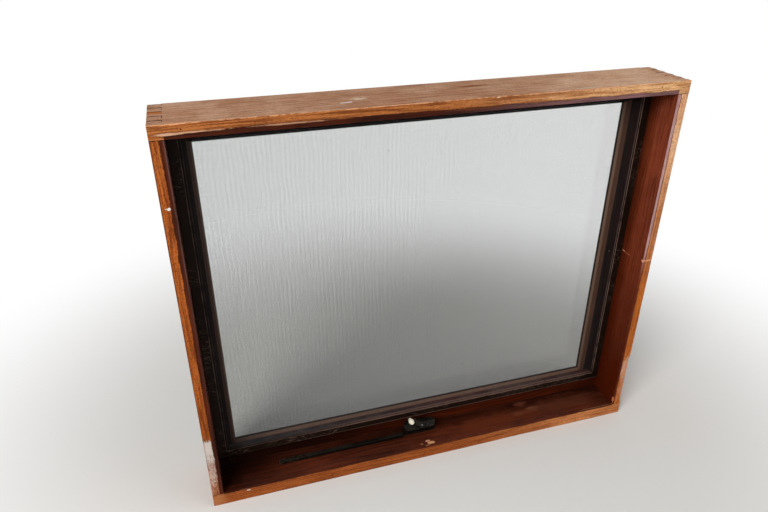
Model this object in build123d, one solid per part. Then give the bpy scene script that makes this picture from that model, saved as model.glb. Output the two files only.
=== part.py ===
"""Timber awning window in its deep box frame, closed, with insect screen and chain winder.

Four reveal boards are comb jointed into a box. Stop beads run round inside it. The glazed sash
hangs from two butts behind the stops, the insect screen lies against their room side, and the
chain winder stands on the sill below the screen.

Millimetres. +Z is up, -Y is the room side, and the origin is under the middle of the sill.
"""
import math
import os

from build123d import *

# box frame
frame_width = 1200.0
frame_height = 1000.0
frame_depth = 154.0
head_thickness = 30.0
jamb_thickness = 28.0
sill_thickness = 37.0
arris_radius = 1.2
fingers_per_corner = 10
finger_recess = 0.8  # the jambs' finger ends lie below the faces of head and sill
sill_fall = 8.0  # how far the outer part of the sill slopes down
sill_outer_edge = 3.0
drip_width = 6.0
drip_depth = 5.0
drip_from_edge = 12.0

# wood missing from the jambs' front outer arrises just above the sill: how much is gone across
# the front at the foot and at the top of the break, and how deep it goes into the outer side
right_break_foot = 10.0
right_break_top = 167.0
right_break_foot_reach = 5.0
right_break_top_reach = 11.0
right_break_depth = 4.5
left_break_foot = 6.0
left_break_top = 66.0
left_break_foot_reach = 3.5
left_break_top_reach = 1.5
left_break_depth = 4.0
break_overshoot = 1.0

# insect screen
screen_face = 26.0
screen_depth = 10.0
screen_clearance = 1.0
screen_height_over_sill = 36.0
screen_wall = 1.2
ridge_width = 2.2
face_recess = 0.9
groove_width = 3.4
groove_depth = 4.6
groove_lip = 1.6
inner_lip_drop = 0.8
spline_radius = 1.5
spline_gap = 0.1
mesh_thickness = 0.4

# stop beads
stop_thickness = 14.0
stop_face = 20.0
chain_slot_width = 62.0
chain_slot_height = 18.0

# sash
sash_thickness = 35.0
sash_setback = 7.0  # weather edge of the frame to the weather face of the sash
sash_clearance = 2.0
sash_sill_clearance = 3.0
stile_flat = 35.0
bottom_rail_flat = 40.0
splay_width = 11.0
splay_depth = 16.0
glass_seat = 18.0  # room face of the sash to the glass
glass_thickness = 4.0
glass_edge_clearance = 2.0
bead_nose = 4.0
bead_back = 3.0
bead_setback = 1.5

# butts that carry the sash
hinge_length = 75.0
hinge_inset = 190.0
leaf_thickness = 1.0
leaf_width = 27.0
knuckle_radius = 3.0
knuckle_count = 5
knuckle_gap = 0.3
hinge_pin_radius = 1.2
hinge_pin_clearance = 0.05
hinge_pin_head = 1.2

# chain winder
winder_x = -20.5
winder_length = 93.0
winder_front = 52.0  # room-side edge of the frame to the housing
winder_depth = 28.0
winder_height = 33.0
winder_base_thickness = 3.0
winder_base_margin = 3.0
winder_base_setback = 6.0  # housing's brow to the base's front
winder_slope = 13.0
winder_undercut = 9.0  # the front leans back this far at its foot
winder_top_radius = 3.0
winder_brow_radius = 2.0
rib_count = 3
rib_groove = 1.1
rib_start = 13.0
boss_length = 13.0
boss_embed = 4.0
boss_root_radius = 9.0
boss_radius = 7.5
tube_length = 350.0
tube_side = 11.0
tube_wall = 1.0
tube_setback = 1.0  # housing's front to the tube's front
tube_cap_thickness = 2.0
chain_pitch = 9.0
chain_link_height = 7.0
chain_link_overhang = 1.5
chain_plate = 1.2
chain_inner_step = 0.6
chain_width = 6.0
chain_rivet_radius = 1.2
chain_exit_depth = 6.0
chain_height_over_sill = 9.0
bracket_width = 40.0
bracket_height = 13.0
bracket_thickness = 2.0
bracket_lug = 8.0
bracket_lift = 0.5
bracket_slack = 0.3
chain_slack = 1.0

# crank
crank_tilt = 45.0  # the spindle's angle above the level
crank_angle = 36.5  # the arm's angle above the level at rest, to the left
crank_length = 37.5
spindle_radius = 3.0
spindle_clearance = 0.05
spindle_depth = 14.0
spindle_end_gap = 1.0
hub_radius = 6.5
hub_height = 9.0
hub_gap = 0.3
arm_thickness = 4.0
arm_tip_radius = 4.6
arm_height = 4.0
crank_screw_radius = 3.0
crank_screw_height = 1.8
crank_screw_top_radius = 2.1
knob_lean = 32.0  # the arm's tip is bent, so that the knob leans down the slope
knob_length = 19.0
knob_root_radius = 5.0
knob_radius = 7.6
knob_belly = 13.0  # root to the widest part
knob_crown_radius = 5.6
knob_gap = 0.3
knob_pin_radius = 2.0
knob_pin_clearance = 0.05
knob_pin_head = 3.2
knob_pin_head_height = 1.2

# levels and faces that more than one piece takes
room_face = -frame_depth / 2
outer_face = frame_depth / 2
jamb_inner = frame_width / 2 - jamb_thickness
head_under = frame_height - head_thickness
sash_outer_y = outer_face - sash_setback
sash_y = sash_outer_y - sash_thickness
stop_y = sash_y - stop_thickness
screen_y = stop_y - screen_depth
screen_bottom = sill_thickness + screen_height_over_sill
screen_top = head_under - screen_clearance
screen_half = jamb_inner - screen_clearance
sash_half = jamb_inner - sash_clearance
sash_bottom = sill_thickness + sash_sill_clearance
sash_top = head_under - sash_clearance
stile_width = stile_flat + splay_width
bottom_rail_width = bottom_rail_flat + splay_width
winder_y = room_face + winder_front
chain_z = sill_thickness + chain_height_over_sill


def save(shape, node):
    """Writes one piece to its own file."""
    export_step(shape, f"parts/{node}.step")


def block(x0, x1, y0, y1, z0, z1):
    """A box between two corners."""
    middle = Pos((x0 + x1) / 2, (y0 + y1) / 2, (z0 + z1) / 2)
    return middle * Box(x1 - x0, y1 - y0, z1 - z0)


def rod(radius, height):
    return Cylinder(radius, height, align=(Align.CENTER, Align.CENTER, Align.MIN))


def taper(foot_radius, top_radius, height):
    return Cone(foot_radius, top_radius, height, align=(Align.CENTER, Align.CENTER, Align.MIN))


def prism_along_x(points, x0, x1):
    """A (y, z) outline carried from x0 to x1."""
    outline = make_face(Polyline([(0, y, z) for y, z in points], close=True))
    return Pos(x0, 0, 0) * extrude(outline, amount=x1 - x0, dir=(1, 0, 0))


def prism_along_y(points, y0, y1):
    """An (x, z) outline carried from y0 to y1."""
    outline = make_face(Polyline([(x, 0, z) for x, z in points], close=True))
    return Pos(0, y0, 0) * extrude(outline, amount=y1 - y0, dir=(0, 1, 0))


def eased(board, axis):
    """A board with its long edges rounded over."""
    return fillet(board.edges().filter_by(axis), arris_radius)


def jamb_fingers():
    """The y ranges of the fingers that belong to the jambs: every second one from the room side."""
    pitch = frame_depth / fingers_per_corner
    owned = range(1, fingers_per_corner, 2)
    return [(room_face + i * pitch, room_face + (i + 1) * pitch) for i in owned]


def notched(board, z0, z1):
    """Head or sill with the slots cut that take the jambs' fingers."""
    for side in (-1, 1):
        ends = sorted((side * jamb_inner, side * frame_width / 2))
        for y0, y1 in jamb_fingers():
            board -= block(*ends, y0, y1, z0, z1)
    return board


def make_head():
    board = block(-frame_width / 2, frame_width / 2, room_face, outer_face, head_under, frame_height)
    return notched(eased(board, Axis.X), head_under, frame_height)


def make_sill():
    board = block(-frame_width / 2, frame_width / 2, room_face, outer_face, 0, sill_thickness)
    board = notched(eased(board, Axis.X), 0, sill_thickness)
    low = sill_thickness - sill_fall
    above = sill_thickness + sill_fall
    run_out = outer_face + sill_outer_edge
    slope = [(sash_y, sill_thickness), (run_out, low), (run_out, above), (sash_y, above)]
    board -= prism_along_x(slope, -jamb_inner, jamb_inner)
    drip_outer = outer_face - drip_from_edge
    return board - block(-jamb_inner, jamb_inner, drip_outer - drip_width, drip_outer, 0, drip_depth)


def broken_arris(side, foot, top, foot_reach, top_reach, depth):
    """The wedge of wood that is gone from a jamb's front outer arris, foot and top over the sill."""
    outer_x = side * frame_width / 2
    sections = []
    for height, reach in ((foot, foot_reach), (top, top_reach)):
        beside = side * break_overshoot
        across = side * (reach + break_overshoot * reach / depth)
        behind = depth + break_overshoot * depth / reach
        front = room_face - break_overshoot
        z = sill_thickness + height
        corners = [(outer_x + beside, front, z), (outer_x - across, front, z),
                   (outer_x + beside, room_face + behind, z)]
        sections.append(make_face(Polyline(corners, close=True)))
    return loft(sections)


def make_jamb(side):
    x0, x1 = sorted((side * jamb_inner, side * frame_width / 2))
    board = eased(block(x0, x1, room_face, outer_face, sill_thickness, head_under), Axis.Z)
    if side > 0:
        board -= broken_arris(side, right_break_foot, right_break_top, right_break_foot_reach,
                              right_break_top_reach, right_break_depth)
    else:
        board -= broken_arris(side, left_break_foot, left_break_top, left_break_foot_reach,
                              left_break_top_reach, left_break_depth)
    for y0, y1 in jamb_fingers():
        board += block(x0, x1, y0, y1, finger_recess, sill_thickness)
        board += block(x0, x1, y0, y1, head_under, frame_height - finger_recess)
    return board


def make_head_stop():
    return block(-jamb_inner, jamb_inner, stop_y, sash_y, head_under - stop_face, head_under)


def make_side_stop(side):
    x0, x1 = sorted((side * jamb_inner, side * (jamb_inner - stop_face)))
    return block(x0, x1, stop_y, sash_y, screen_bottom + stop_face, head_under - stop_face)


def make_winder_rail():
    """The stop on the sill, tall enough to carry the screen's foot, slotted for the chain."""
    rail = block(-jamb_inner, jamb_inner, stop_y, sash_y, sill_thickness, screen_bottom + stop_face)
    slot_x = (winder_x - chain_slot_width / 2, winder_x + chain_slot_width / 2)
    return rail - block(*slot_x, stop_y, sash_y, sill_thickness, sill_thickness + chain_slot_height)


def mitred(profile, length, depth_range):
    """A closed (depth, inward) outline run along X, cut at 45 degrees at both ends."""
    bar = prism_along_x(profile, 0, length)
    reach = max(inward for _, inward in profile)
    trapezium = [(0, 0), (length, 0), (length - reach, reach), (reach, reach)]
    return bar & prism_along_y(trapezium, *depth_range)


def around(make_side, left, right, bottom, top):
    """Four sides set round a rectangle; make_side gets each side's length and name."""
    places = {
        "bottom": Pos(left, 0, bottom),
        "right": Pos(right, 0, bottom) * Rot(0, -90, 0),
        "top": Pos(right, 0, top) * Rot(0, 180, 0),
        "left": Pos(left, 0, top) * Rot(0, 90, 0),
    }
    lengths = {"bottom": right - left, "top": right - left, "left": top - bottom, "right": top - bottom}
    return {name: place * make_side(lengths[name], name) for name, place in places.items()}


def screen_profile():
    """Section of the screen frame: outer ridge, recessed face, spline groove and lowered inner lip."""
    groove_end = screen_face - groove_lip
    groove_start = groove_end - groove_width
    lip_start = groove_start - groove_lip
    y = screen_y
    back = y + screen_depth
    tray_back = y + groove_depth + screen_wall
    return [
        (y, 0), (y, ridge_width), (y + face_recess, ridge_width), (y + face_recess, lip_start),
        (y, lip_start), (y, groove_start), (y + groove_depth, groove_start), (y + groove_depth, groove_end),
        (y + inner_lip_drop, groove_end), (y + inner_lip_drop, screen_face), (tray_back, screen_face),
        (tray_back, lip_start), (back, lip_start), (back, 0),
    ]


def make_screen_side(length, name):
    """One side of the screen frame: a thin-walled box with the groove on its inner edge."""
    lip_start = screen_face - 2 * groove_lip - groove_width
    hollow = [
        (screen_y + face_recess + screen_wall, screen_wall),
        (screen_y + face_recess + screen_wall, lip_start - screen_wall),
        (screen_y + screen_depth - screen_wall, lip_start - screen_wall),
        (screen_y + screen_depth - screen_wall, screen_wall),
    ]
    solid = mitred(screen_profile(), length, (screen_y, screen_y + screen_depth))
    return solid - prism_along_x(hollow, 0, length)


def make_spline_side(length, name):
    """The round cord that holds the mesh down in one groove."""
    inward = screen_face - groove_lip - groove_width / 2
    depth = screen_y + groove_depth - spline_gap - spline_radius
    cord = Pos(0, depth, inward) * Rot(0, 90, 0) * rod(spline_radius, length)
    reach = inward + spline_radius
    trapezium = [(0, 0), (length, 0), (length - reach, reach), (reach, reach)]
    return cord & prism_along_y(trapezium, screen_y, screen_y + screen_depth)


def make_screen_mesh():
    """The stretched mesh as a thin sheet, its edges turned in at the middle of the grooves."""
    edge = screen_face - groove_lip - groove_width / 2
    half = screen_half - edge
    y1 = screen_y + inner_lip_drop
    return block(-half, half, y1 - mesh_thickness, y1, screen_bottom + edge, screen_top - edge)


def sash_profile(flat):
    """Section of a sash member: flat face, splay to the glass line, rebate open to the outside."""
    y = sash_y
    wide = flat + splay_width
    return [
        (y, 0), (y, flat), (y + splay_depth, wide), (y + glass_seat, wide), (y + glass_seat, flat),
        (y + sash_thickness, flat), (y + sash_thickness, 0),
    ]


def make_sash():
    """Stiles run through; the rails butt between them, and the splays meet in a mitre."""
    height = sash_top - sash_bottom
    width = 2 * sash_half
    depths = (sash_y, sash_outer_y)
    flats = {"bottom": bottom_rail_flat, "top": stile_flat}

    def member(length, name):
        if name in flats:
            flat = flats[name]
            wide = flat + splay_width
            bar = prism_along_x(sash_profile(flat), stile_flat, length - stile_flat)
            corner = [(stile_flat, flat), (stile_flat, wide), (stile_width, wide)]
            other = [(length - x, z) for x, z in corner]
            return bar - prism_along_y(corner, *depths) - prism_along_y(other, *depths)
        bar = prism_along_x(sash_profile(stile_flat), 0, length)
        ends = ("bottom", "top") if name == "right" else ("top", "bottom")
        for at_end, rail in enumerate(ends):
            flat = flats[rail]
            wide = flat + splay_width
            corner = [(0, stile_flat), (flat, stile_flat), (wide, stile_width), (0, stile_width)]
            if at_end:
                corner = [(length - x, z) for x, z in corner]
            bar -= prism_along_y(corner, *depths)
        return bar

    sash = around(member, -sash_half, sash_half, sash_bottom, sash_top)
    run = outer_face + sill_outer_edge - sash_y
    drop = sill_fall * sash_thickness / run
    toe = [(sash_y, sash_bottom), (sash_outer_y, sash_bottom), (sash_outer_y, sash_bottom - drop)]
    sash["bottom"] += prism_along_x(toe, -sash_half + stile_flat, sash_half - stile_flat)
    sash["left"] += prism_along_x(toe, -sash_half, -sash_half + stile_flat)
    sash["right"] += prism_along_x(toe, sash_half - stile_flat, sash_half)
    return sash


def glass_opening():
    """The rebate's inside: left, right, bottom and top."""
    half = sash_half - stile_flat
    return (-half, half, sash_bottom + bottom_rail_flat, sash_top - stile_flat)


def make_glass():
    left, right, bottom, top = glass_opening()
    gap = glass_edge_clearance
    y0 = sash_y + glass_seat
    return block(left + gap, right - gap, y0, y0 + glass_thickness, bottom + gap, top - gap)


def make_beads():
    """Glazing beads on the weather side, splayed to shed water."""
    y0 = sash_y + glass_seat + glass_thickness
    y1 = sash_outer_y - bead_setback
    section = [(y0, 0), (y0, splay_width), (y0 + bead_nose, splay_width), (y1, bead_back), (y1, 0)]

    def bead(length, name):
        return mitred(section, length, (y0, y1))

    return around(bead, *glass_opening())


def make_hinge(x):
    """Butt above the sash: a leaf under the head, a leaf on the top rail, and the pin."""
    centre_y = sash_outer_y + knuckle_gap + knuckle_radius
    centre_z = head_under - knuckle_radius
    pitch = hinge_length / knuckle_count
    leaf_y = centre_y - knuckle_radius - knuckle_gap
    leaves = []
    hole = Pos(x, centre_y, centre_z) * Rot(0, 90, 0)
    for first in (0, 1):
        z1 = head_under - first * leaf_thickness
        leaf_ends = (x - hinge_length / 2, x + hinge_length / 2)
        leaf = block(*leaf_ends, leaf_y - leaf_width, leaf_y, z1 - leaf_thickness, z1)
        for i in range(first, knuckle_count, 2):
            x0 = x - hinge_length / 2 + i * pitch + knuckle_gap / 2
            x1 = x0 + pitch - knuckle_gap
            barrel = Pos((x0 + x1) / 2, centre_y, centre_z) * Rot(0, 90, 0)
            leaf += barrel * Cylinder(knuckle_radius, x1 - x0)
            leaf += block(x0, x1, leaf_y, centre_y, z1 - leaf_thickness, z1)
        leaves.append(leaf - hole * Cylinder(hinge_pin_radius + hinge_pin_clearance, hinge_length))
    pin = hole * Cylinder(hinge_pin_radius, hinge_length)
    for end in (-1, 1):
        cap_x = x + end * (hinge_length + hinge_pin_head) / 2
        pin += Pos(cap_x, centre_y, centre_z) * Rot(0, 90, 0) * Cylinder(knuckle_radius, hinge_pin_head)
    return leaves[0], leaves[1], pin


def winder_plan(front, back, margin):
    """The winder's outline from above: straight sides, round ends."""
    return Pos(winder_x, (front + back) / 2) * SlotOverall(winder_length + 2 * margin, back - front)


def make_winder_base():
    back = winder_y + winder_depth + winder_base_margin
    plan = winder_plan(winder_y + winder_base_setback, back, winder_base_margin)
    return Pos(0, 0, sill_thickness) * extrude(plan, amount=winder_base_thickness)


def spindle_frame():
    """The spindle's foot on the sloping face, its direction, and the way up the slope."""
    tilt = math.radians(crank_tilt)
    seat_y = winder_y + winder_slope / 2
    seat_z = sill_thickness + winder_height - winder_slope / 2
    out = Vector(0, -math.cos(tilt), math.sin(tilt))
    up_slope = Vector(0, math.sin(tilt), math.cos(tilt))
    return Vector(winder_x, seat_y, seat_z), out, up_slope


def crank_place(height=0.0, along=0.0):
    """A place on the spindle's axis: height over the boss, and along the arm; Z follows the spindle."""
    seat, out, up_slope = spindle_frame()
    turn = math.radians(crank_angle)
    arm = Vector(-1, 0, 0) * math.cos(turn) + up_slope * math.sin(turn)
    origin = seat + out * (boss_length + height) + arm * along
    return Plane(origin=origin, x_dir=arm, z_dir=out)


def knob_place(height=0.0):
    """A place on the knob's leaning pin, counted from the seat on the arm's bent tip."""
    _, out, up_slope = spindle_frame()
    lean = math.radians(knob_lean)
    along_pin = out * math.cos(lean) - up_slope * math.sin(lean)
    middle = crank_place(arm_height + arm_thickness / 2, crank_length).origin
    origin = middle + along_pin * (arm_thickness / 2 + height)
    return Plane(origin=origin, x_dir=Vector(1, 0, 0), z_dir=along_pin)


def upright(place, shape):
    """A shape standing on a place, its foot at the place's origin."""
    return place.location * shape


def make_winder_housing():
    """Round-ended body, undercut in front; its slope carries the spindle boss, and grooves beside it."""
    y0, y1 = winder_y, winder_y + winder_depth
    z0 = sill_thickness + winder_base_thickness
    z1 = sill_thickness + winder_height
    half = winder_length / 2
    brow = z1 - winder_slope
    foot = y0 + winder_undercut
    corners = [(0, foot, z0), (0, y0, brow), (0, y0 + winder_slope, z1), (0, y1, z1), (0, y1, z0)]
    side = make_face(Polyline(corners, close=True))
    side = fillet(side.vertices().group_by(Axis.Z)[1], winder_brow_radius)
    side = fillet(side.vertices().group_by(Axis.Z)[-1], winder_top_radius)
    body = Pos(winder_x - half, 0, 0) * extrude(side, amount=winder_length, dir=(1, 0, 0))
    body &= Pos(0, 0, z0) * extrude(winder_plan(y0, y1, 0), amount=winder_height)
    for i in range(rib_count):
        step = winder_slope * (i + 1) / (rib_count + 1)
        y, z = y0 + step, z1 - winder_slope + step
        g = rib_groove
        groove = [(y - g, z), (y, z + g), (y + g, z), (y, z - g)]
        body -= prism_along_x(groove, winder_x + rib_start, winder_x + half)
    boss = taper(boss_root_radius, boss_radius, boss_length + boss_embed)
    body += upright(crank_place(-boss_length - boss_embed), boss)
    body -= upright(crank_place(-spindle_depth), rod(spindle_radius + spindle_clearance, spindle_depth))
    mouth = chain_width / 2 + chain_slack
    low = chain_z - chain_link_height / 2 - chain_slack
    high = chain_z + chain_link_height / 2 + chain_slack
    return body - block(winder_x - mouth, winder_x + mouth, y1 - chain_exit_depth, y1, low, high)


def make_chain_tube():
    x1 = winder_x - winder_length / 2 - winder_base_margin
    x0 = x1 - tube_length + tube_cap_thickness
    y0 = winder_y + tube_setback
    y1 = y0 + tube_side
    z0, z1 = sill_thickness, sill_thickness + tube_side
    tube = eased(block(x0, x1, y0, y1, z0, z1), Axis.X)
    w = tube_wall
    cap = eased(block(x0 - tube_cap_thickness, x0, y0, y1, z0, z1), Axis.X)
    return tube - block(x0, x1, y0 + w, y1 - w, z0 + w, z1 - w), cap


def make_chain():
    """The short run of chain from the housing to the sash bracket."""
    y0 = winder_y + winder_depth - chain_exit_depth + chain_link_overhang
    y1 = sash_y - bracket_thickness - bracket_lug / 2
    count = max(2, round((y1 - y0) / chain_pitch))
    pitch = (y1 - y0) / count
    half = chain_width / 2
    links = None
    for i in range(count):
        a = y0 + i * pitch
        inner = i % 2
        for side in (-1, 1):
            reach = half - inner * chain_plate
            x0, x1 = sorted((winder_x + side * reach, winder_x + side * (reach - chain_plate)))
            half_height = chain_link_height / 2 - inner * chain_inner_step
            plate_ends = (a - chain_link_overhang, a + pitch + chain_link_overhang)
            plate = block(x0, x1, *plate_ends, chain_z - half_height, chain_z + half_height)
            links = plate if links is None else links + plate
    for i in range(count + 1):
        rivet = Pos(winder_x, y0 + i * pitch, chain_z) * Rot(0, 90, 0)
        links += rivet * Cylinder(chain_rivet_radius, chain_width)
    return links


def make_bracket():
    """The plate on the sash that the chain's last rivet pulls on."""
    y1 = sash_y
    y0 = y1 - bracket_thickness
    z0 = sash_bottom + bracket_lift
    x0, x1 = winder_x - bracket_width / 2, winder_x + bracket_width / 2
    plate = block(x0, x1, y0, y1, z0, z0 + bracket_height)
    inner = chain_width / 2 + bracket_slack
    lug_z = (chain_z - chain_link_height / 2, chain_z + chain_link_height / 2)
    for side in (-1, 1):
        x0, x1 = sorted((winder_x + side * inner, winder_x + side * (inner + bracket_thickness)))
        plate += block(x0, x1, y0 - bracket_lug, y0, *lug_z)
    return plate


def make_crank_arm():
    """Hub and tapered arm, its tip bent to carry the leaning knob."""
    blank = Sketch() + Circle(hub_radius) + Pos(crank_length, 0) * Circle(arm_tip_radius)
    blank = make_hull(blank.edges())
    arm = upright(crank_place(arm_height), extrude(blank, amount=arm_thickness))
    arm += upright(crank_place(hub_gap), rod(hub_radius, hub_height))
    arm += upright(knob_place(-arm_thickness), rod(arm_tip_radius, arm_thickness))
    arm -= upright(knob_place(), rod(hub_radius + arm_tip_radius, knob_length))
    arm -= upright(crank_place(hub_gap), rod(spindle_radius, hub_height))
    return arm - upright(knob_place(-arm_thickness), rod(knob_pin_radius, arm_thickness))


def make_spindle():
    length = spindle_depth - spindle_end_gap + hub_gap + hub_height
    return upright(crank_place(-spindle_depth + spindle_end_gap), rod(spindle_radius, length))


def make_crank_screw():
    head = taper(crank_screw_radius, crank_screw_top_radius, crank_screw_height)
    return upright(crank_place(hub_gap + hub_height), head)


def make_knob():
    """Turned knob, slim at its root and widest near its crown, free to spin on its pin."""
    bore = knob_pin_radius + knob_pin_clearance
    belly = (knob_radius, 0, knob_belly)
    outline = [
        Edge.make_line((bore, 0, 0), (knob_root_radius, 0, 0)),
        Edge.make_line((knob_root_radius, 0, 0), belly),
        Edge.make_line(belly, (knob_crown_radius, 0, knob_length)),
        Edge.make_line((knob_crown_radius, 0, knob_length), (bore, 0, knob_length)),
        Edge.make_line((bore, 0, knob_length), (bore, 0, 0)),
    ]
    return upright(knob_place(knob_gap), revolve(make_face(outline), Axis.Z))


def make_knob_pin():
    """The pin, riveted over a washer head that keeps the knob on."""
    shank = arm_thickness + knob_gap + knob_length + knob_gap
    pin = upright(knob_place(-arm_thickness), rod(knob_pin_radius, shank))
    return pin + upright(knob_place(shank - arm_thickness), rod(knob_pin_head, knob_pin_head_height))


def main():
    os.makedirs("parts", exist_ok=True)
    save(make_head(), "head")
    save(make_sill(), "sill")
    save(make_head_stop(), "head_stop")
    save(make_winder_rail(), "winder_rail")
    for name, side in (("left", -1), ("right", 1)):
        save(make_jamb(side), f"{name}_jamb")
        save(make_side_stop(side), f"{name}_stop")
        frame_leaf, sash_leaf, pin = make_hinge(side * (sash_half - hinge_inset))
        save(frame_leaf, f"{name}_hinge_frame_leaf")
        save(sash_leaf, f"{name}_hinge_sash_leaf")
        save(pin, f"{name}_hinge_pin")
    screen_box = (-screen_half, screen_half, screen_bottom, screen_top)
    for name, piece in around(make_screen_side, *screen_box).items():
        save(piece, f"screen_{name}")
    for name, piece in around(make_spline_side, *screen_box).items():
        save(piece, f"screen_spline_{name}")
    save(make_screen_mesh(), "screen_mesh")
    for name, piece in make_sash().items():
        save(piece, f"sash_{name}")
    save(make_glass(), "glass_pane")
    for name, piece in make_beads().items():
        save(piece, f"glazing_bead_{name}")
    save(make_winder_base(), "winder_base")
    save(make_winder_housing(), "winder_housing")
    tube, cap = make_chain_tube()
    save(tube, "chain_tube")
    save(cap, "chain_tube_cap")
    save(make_chain(), "winder_chain")
    save(make_bracket(), "sash_bracket")
    save(make_crank_arm(), "crank_arm")
    save(make_spindle(), "crank_spindle")
    save(make_crank_screw(), "crank_screw")
    save(make_knob(), "crank_knob")
    save(make_knob_pin(), "knob_pin")


main()
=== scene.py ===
import math
import random

import bmesh
import bpy
import numpy as np
from mathutils import Matrix, Vector, noise


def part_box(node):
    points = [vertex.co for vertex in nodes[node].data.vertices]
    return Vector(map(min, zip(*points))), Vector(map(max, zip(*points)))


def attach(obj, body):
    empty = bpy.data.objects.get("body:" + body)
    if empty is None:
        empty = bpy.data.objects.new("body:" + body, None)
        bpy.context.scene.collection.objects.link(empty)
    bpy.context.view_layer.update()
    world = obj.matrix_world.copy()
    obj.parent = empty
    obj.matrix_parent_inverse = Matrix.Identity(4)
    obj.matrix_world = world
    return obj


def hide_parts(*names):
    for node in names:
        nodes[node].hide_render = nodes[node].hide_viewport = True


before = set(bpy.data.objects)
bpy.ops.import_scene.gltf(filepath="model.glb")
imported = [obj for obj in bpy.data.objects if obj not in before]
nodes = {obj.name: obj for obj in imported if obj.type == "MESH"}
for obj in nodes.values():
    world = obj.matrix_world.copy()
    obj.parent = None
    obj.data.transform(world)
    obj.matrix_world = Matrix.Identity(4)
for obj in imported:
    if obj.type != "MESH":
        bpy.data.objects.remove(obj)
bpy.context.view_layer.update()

mm = 0.001
scene = bpy.context.scene
body = "window"


def extent(nodeName):
    # lowest and highest corner of a CAD node, in millimetres
    low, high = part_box(nodeName)
    return np.array(low) / mm, np.array(high) / mm


headLow, headHigh = extent("head")
screenLow, screenHigh = extent("screen_mesh")
sashLow = extent("sash_right")[0]
roomFace, outerFace = headLow[1], headHigh[1]
frameTop = headHigh[2]
frameHalf = headHigh[0]
headUnder = headLow[2]
sillTop = extent("sill")[1][2]
jambInner = extent("head_stop")[1][0]
sashFace = sashLow[1]


# shader helpers

def newMaterial(name):
    material = bpy.data.materials.new(name)
    material.use_nodes = True
    material.node_tree.nodes.clear()
    return material, material.node_tree


def link(tree, fromSocket, toSocket):
    tree.links.new(fromSocket, toSocket)


def feed(tree, socket, value):
    # a number, a colour, a vector or another node's output
    if isinstance(value, (int, float)):
        socket.default_value = value
    elif isinstance(value, tuple):
        socket.default_value = (*value, 1.0) if socket.type == "RGBA" else value
    else:
        link(tree, value, socket)


def feedNamed(tree, node, values):
    for key, value in values.items():
        feed(tree, node.inputs[key.replace("_", " ")], value)


def addNode(tree, kind, **values):
    # in_ and a name or number means an input, anything else a setting of the node
    node = tree.nodes.new(kind)
    for key, value in values.items():
        if key.startswith("in_"):
            slot = key[3:].replace("_", " ")
            feed(tree, node.inputs[int(slot) if slot.isdigit() else slot], value)
        else:
            setattr(node, key, value)
    return node


def mathNode(tree, operation, first, second=None, clamp=False):
    node = addNode(tree, "ShaderNodeMath", operation=operation, use_clamp=clamp, in_0=first)
    if second is not None:
        feed(tree, node.inputs[1], second)
    return node.outputs[0]


def absolute(tree, value):
    return mathNode(tree, "ABSOLUTE", value)


def larger(tree, first, second):
    return mathNode(tree, "MAXIMUM", first, second)


def plus(tree, first, second):
    return mathNode(tree, "ADD", first, second)


def minus(tree, first, second):
    return mathNode(tree, "SUBTRACT", first, second)


def times(tree, product, *factors, clamp=False):
    for factor in factors:
        product = mathNode(tree, "MULTIPLY", product, factor, clamp)
    return product


def vectorNode(tree, operation, first, second=None):
    node = addNode(tree, "ShaderNodeVectorMath", operation=operation, in_0=first)
    if second is not None:
        feed(tree, node.inputs[1], second)
    return node.outputs["Value" if operation in ("LENGTH", "DOT_PRODUCT") else "Vector"]


def noiseValue(tree, vector, scale, detail, roughness=0.5):
    node = addNode(tree, "ShaderNodeTexNoise", in_Vector=vector, in_Scale=scale, in_Detail=detail,
                   in_Roughness=roughness)
    return node.outputs["Fac"]


def separated(tree, vector):
    return addNode(tree, "ShaderNodeSeparateXYZ", in_0=vector).outputs


def objectCoords(tree):
    return addNode(tree, "ShaderNodeTexCoord").outputs["Object"]


def surfaceNormal(tree):
    return addNode(tree, "ShaderNodeNewGeometry").outputs["Normal"]


def smoothMask(tree, value, low, high):
    # 0 below low, 1 above high
    node = addNode(tree, "ShaderNodeMapRange", interpolation_type="SMOOTHSTEP", in_Value=value,
                   in_From_Min=low, in_From_Max=high)
    return node.outputs["Result"]


def mixColor(tree, factor, first, second):
    return addNode(tree, "ShaderNodeMix", data_type="RGBA", in_0=factor, in_6=first, in_7=second).outputs[2]


def mixValue(tree, factor, first, second):
    return addNode(tree, "ShaderNodeMix", data_type="FLOAT", in_0=factor, in_2=first, in_3=second).outputs[0]


def srgb(red, green, blue):
    # a colour as seen on screen, 0 to 255, as linear light
    def linear(value):
        value /= 255.0
        return value / 12.92 if value <= 0.04045 else ((value + 0.055) / 1.055) ** 2.4
    return linear(red), linear(green), linear(blue)


def newGroup(name, inputs, outputs):
    # an input without a value is a vector, the others and all outputs are numbers
    tree = bpy.data.node_groups.new(name, "ShaderNodeTree")
    for socketName, default in inputs.items():
        kind = "NodeSocketVector" if default is None else "NodeSocketFloat"
        socket = tree.interface.new_socket(socketName, in_out="INPUT", socket_type=kind)
        if default is not None:
            socket.default_value = default
    for socketName in outputs:
        tree.interface.new_socket(socketName, in_out="OUTPUT", socket_type="NodeSocketFloat")
    return tree, tree.nodes.new("NodeGroupInput").outputs, tree.nodes.new("NodeGroupOutput").inputs


def placeGroup(tree, group, **values):
    node = addNode(tree, "ShaderNodeGroup", node_tree=group)
    feedNamed(tree, node, values)
    return node.outputs


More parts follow.
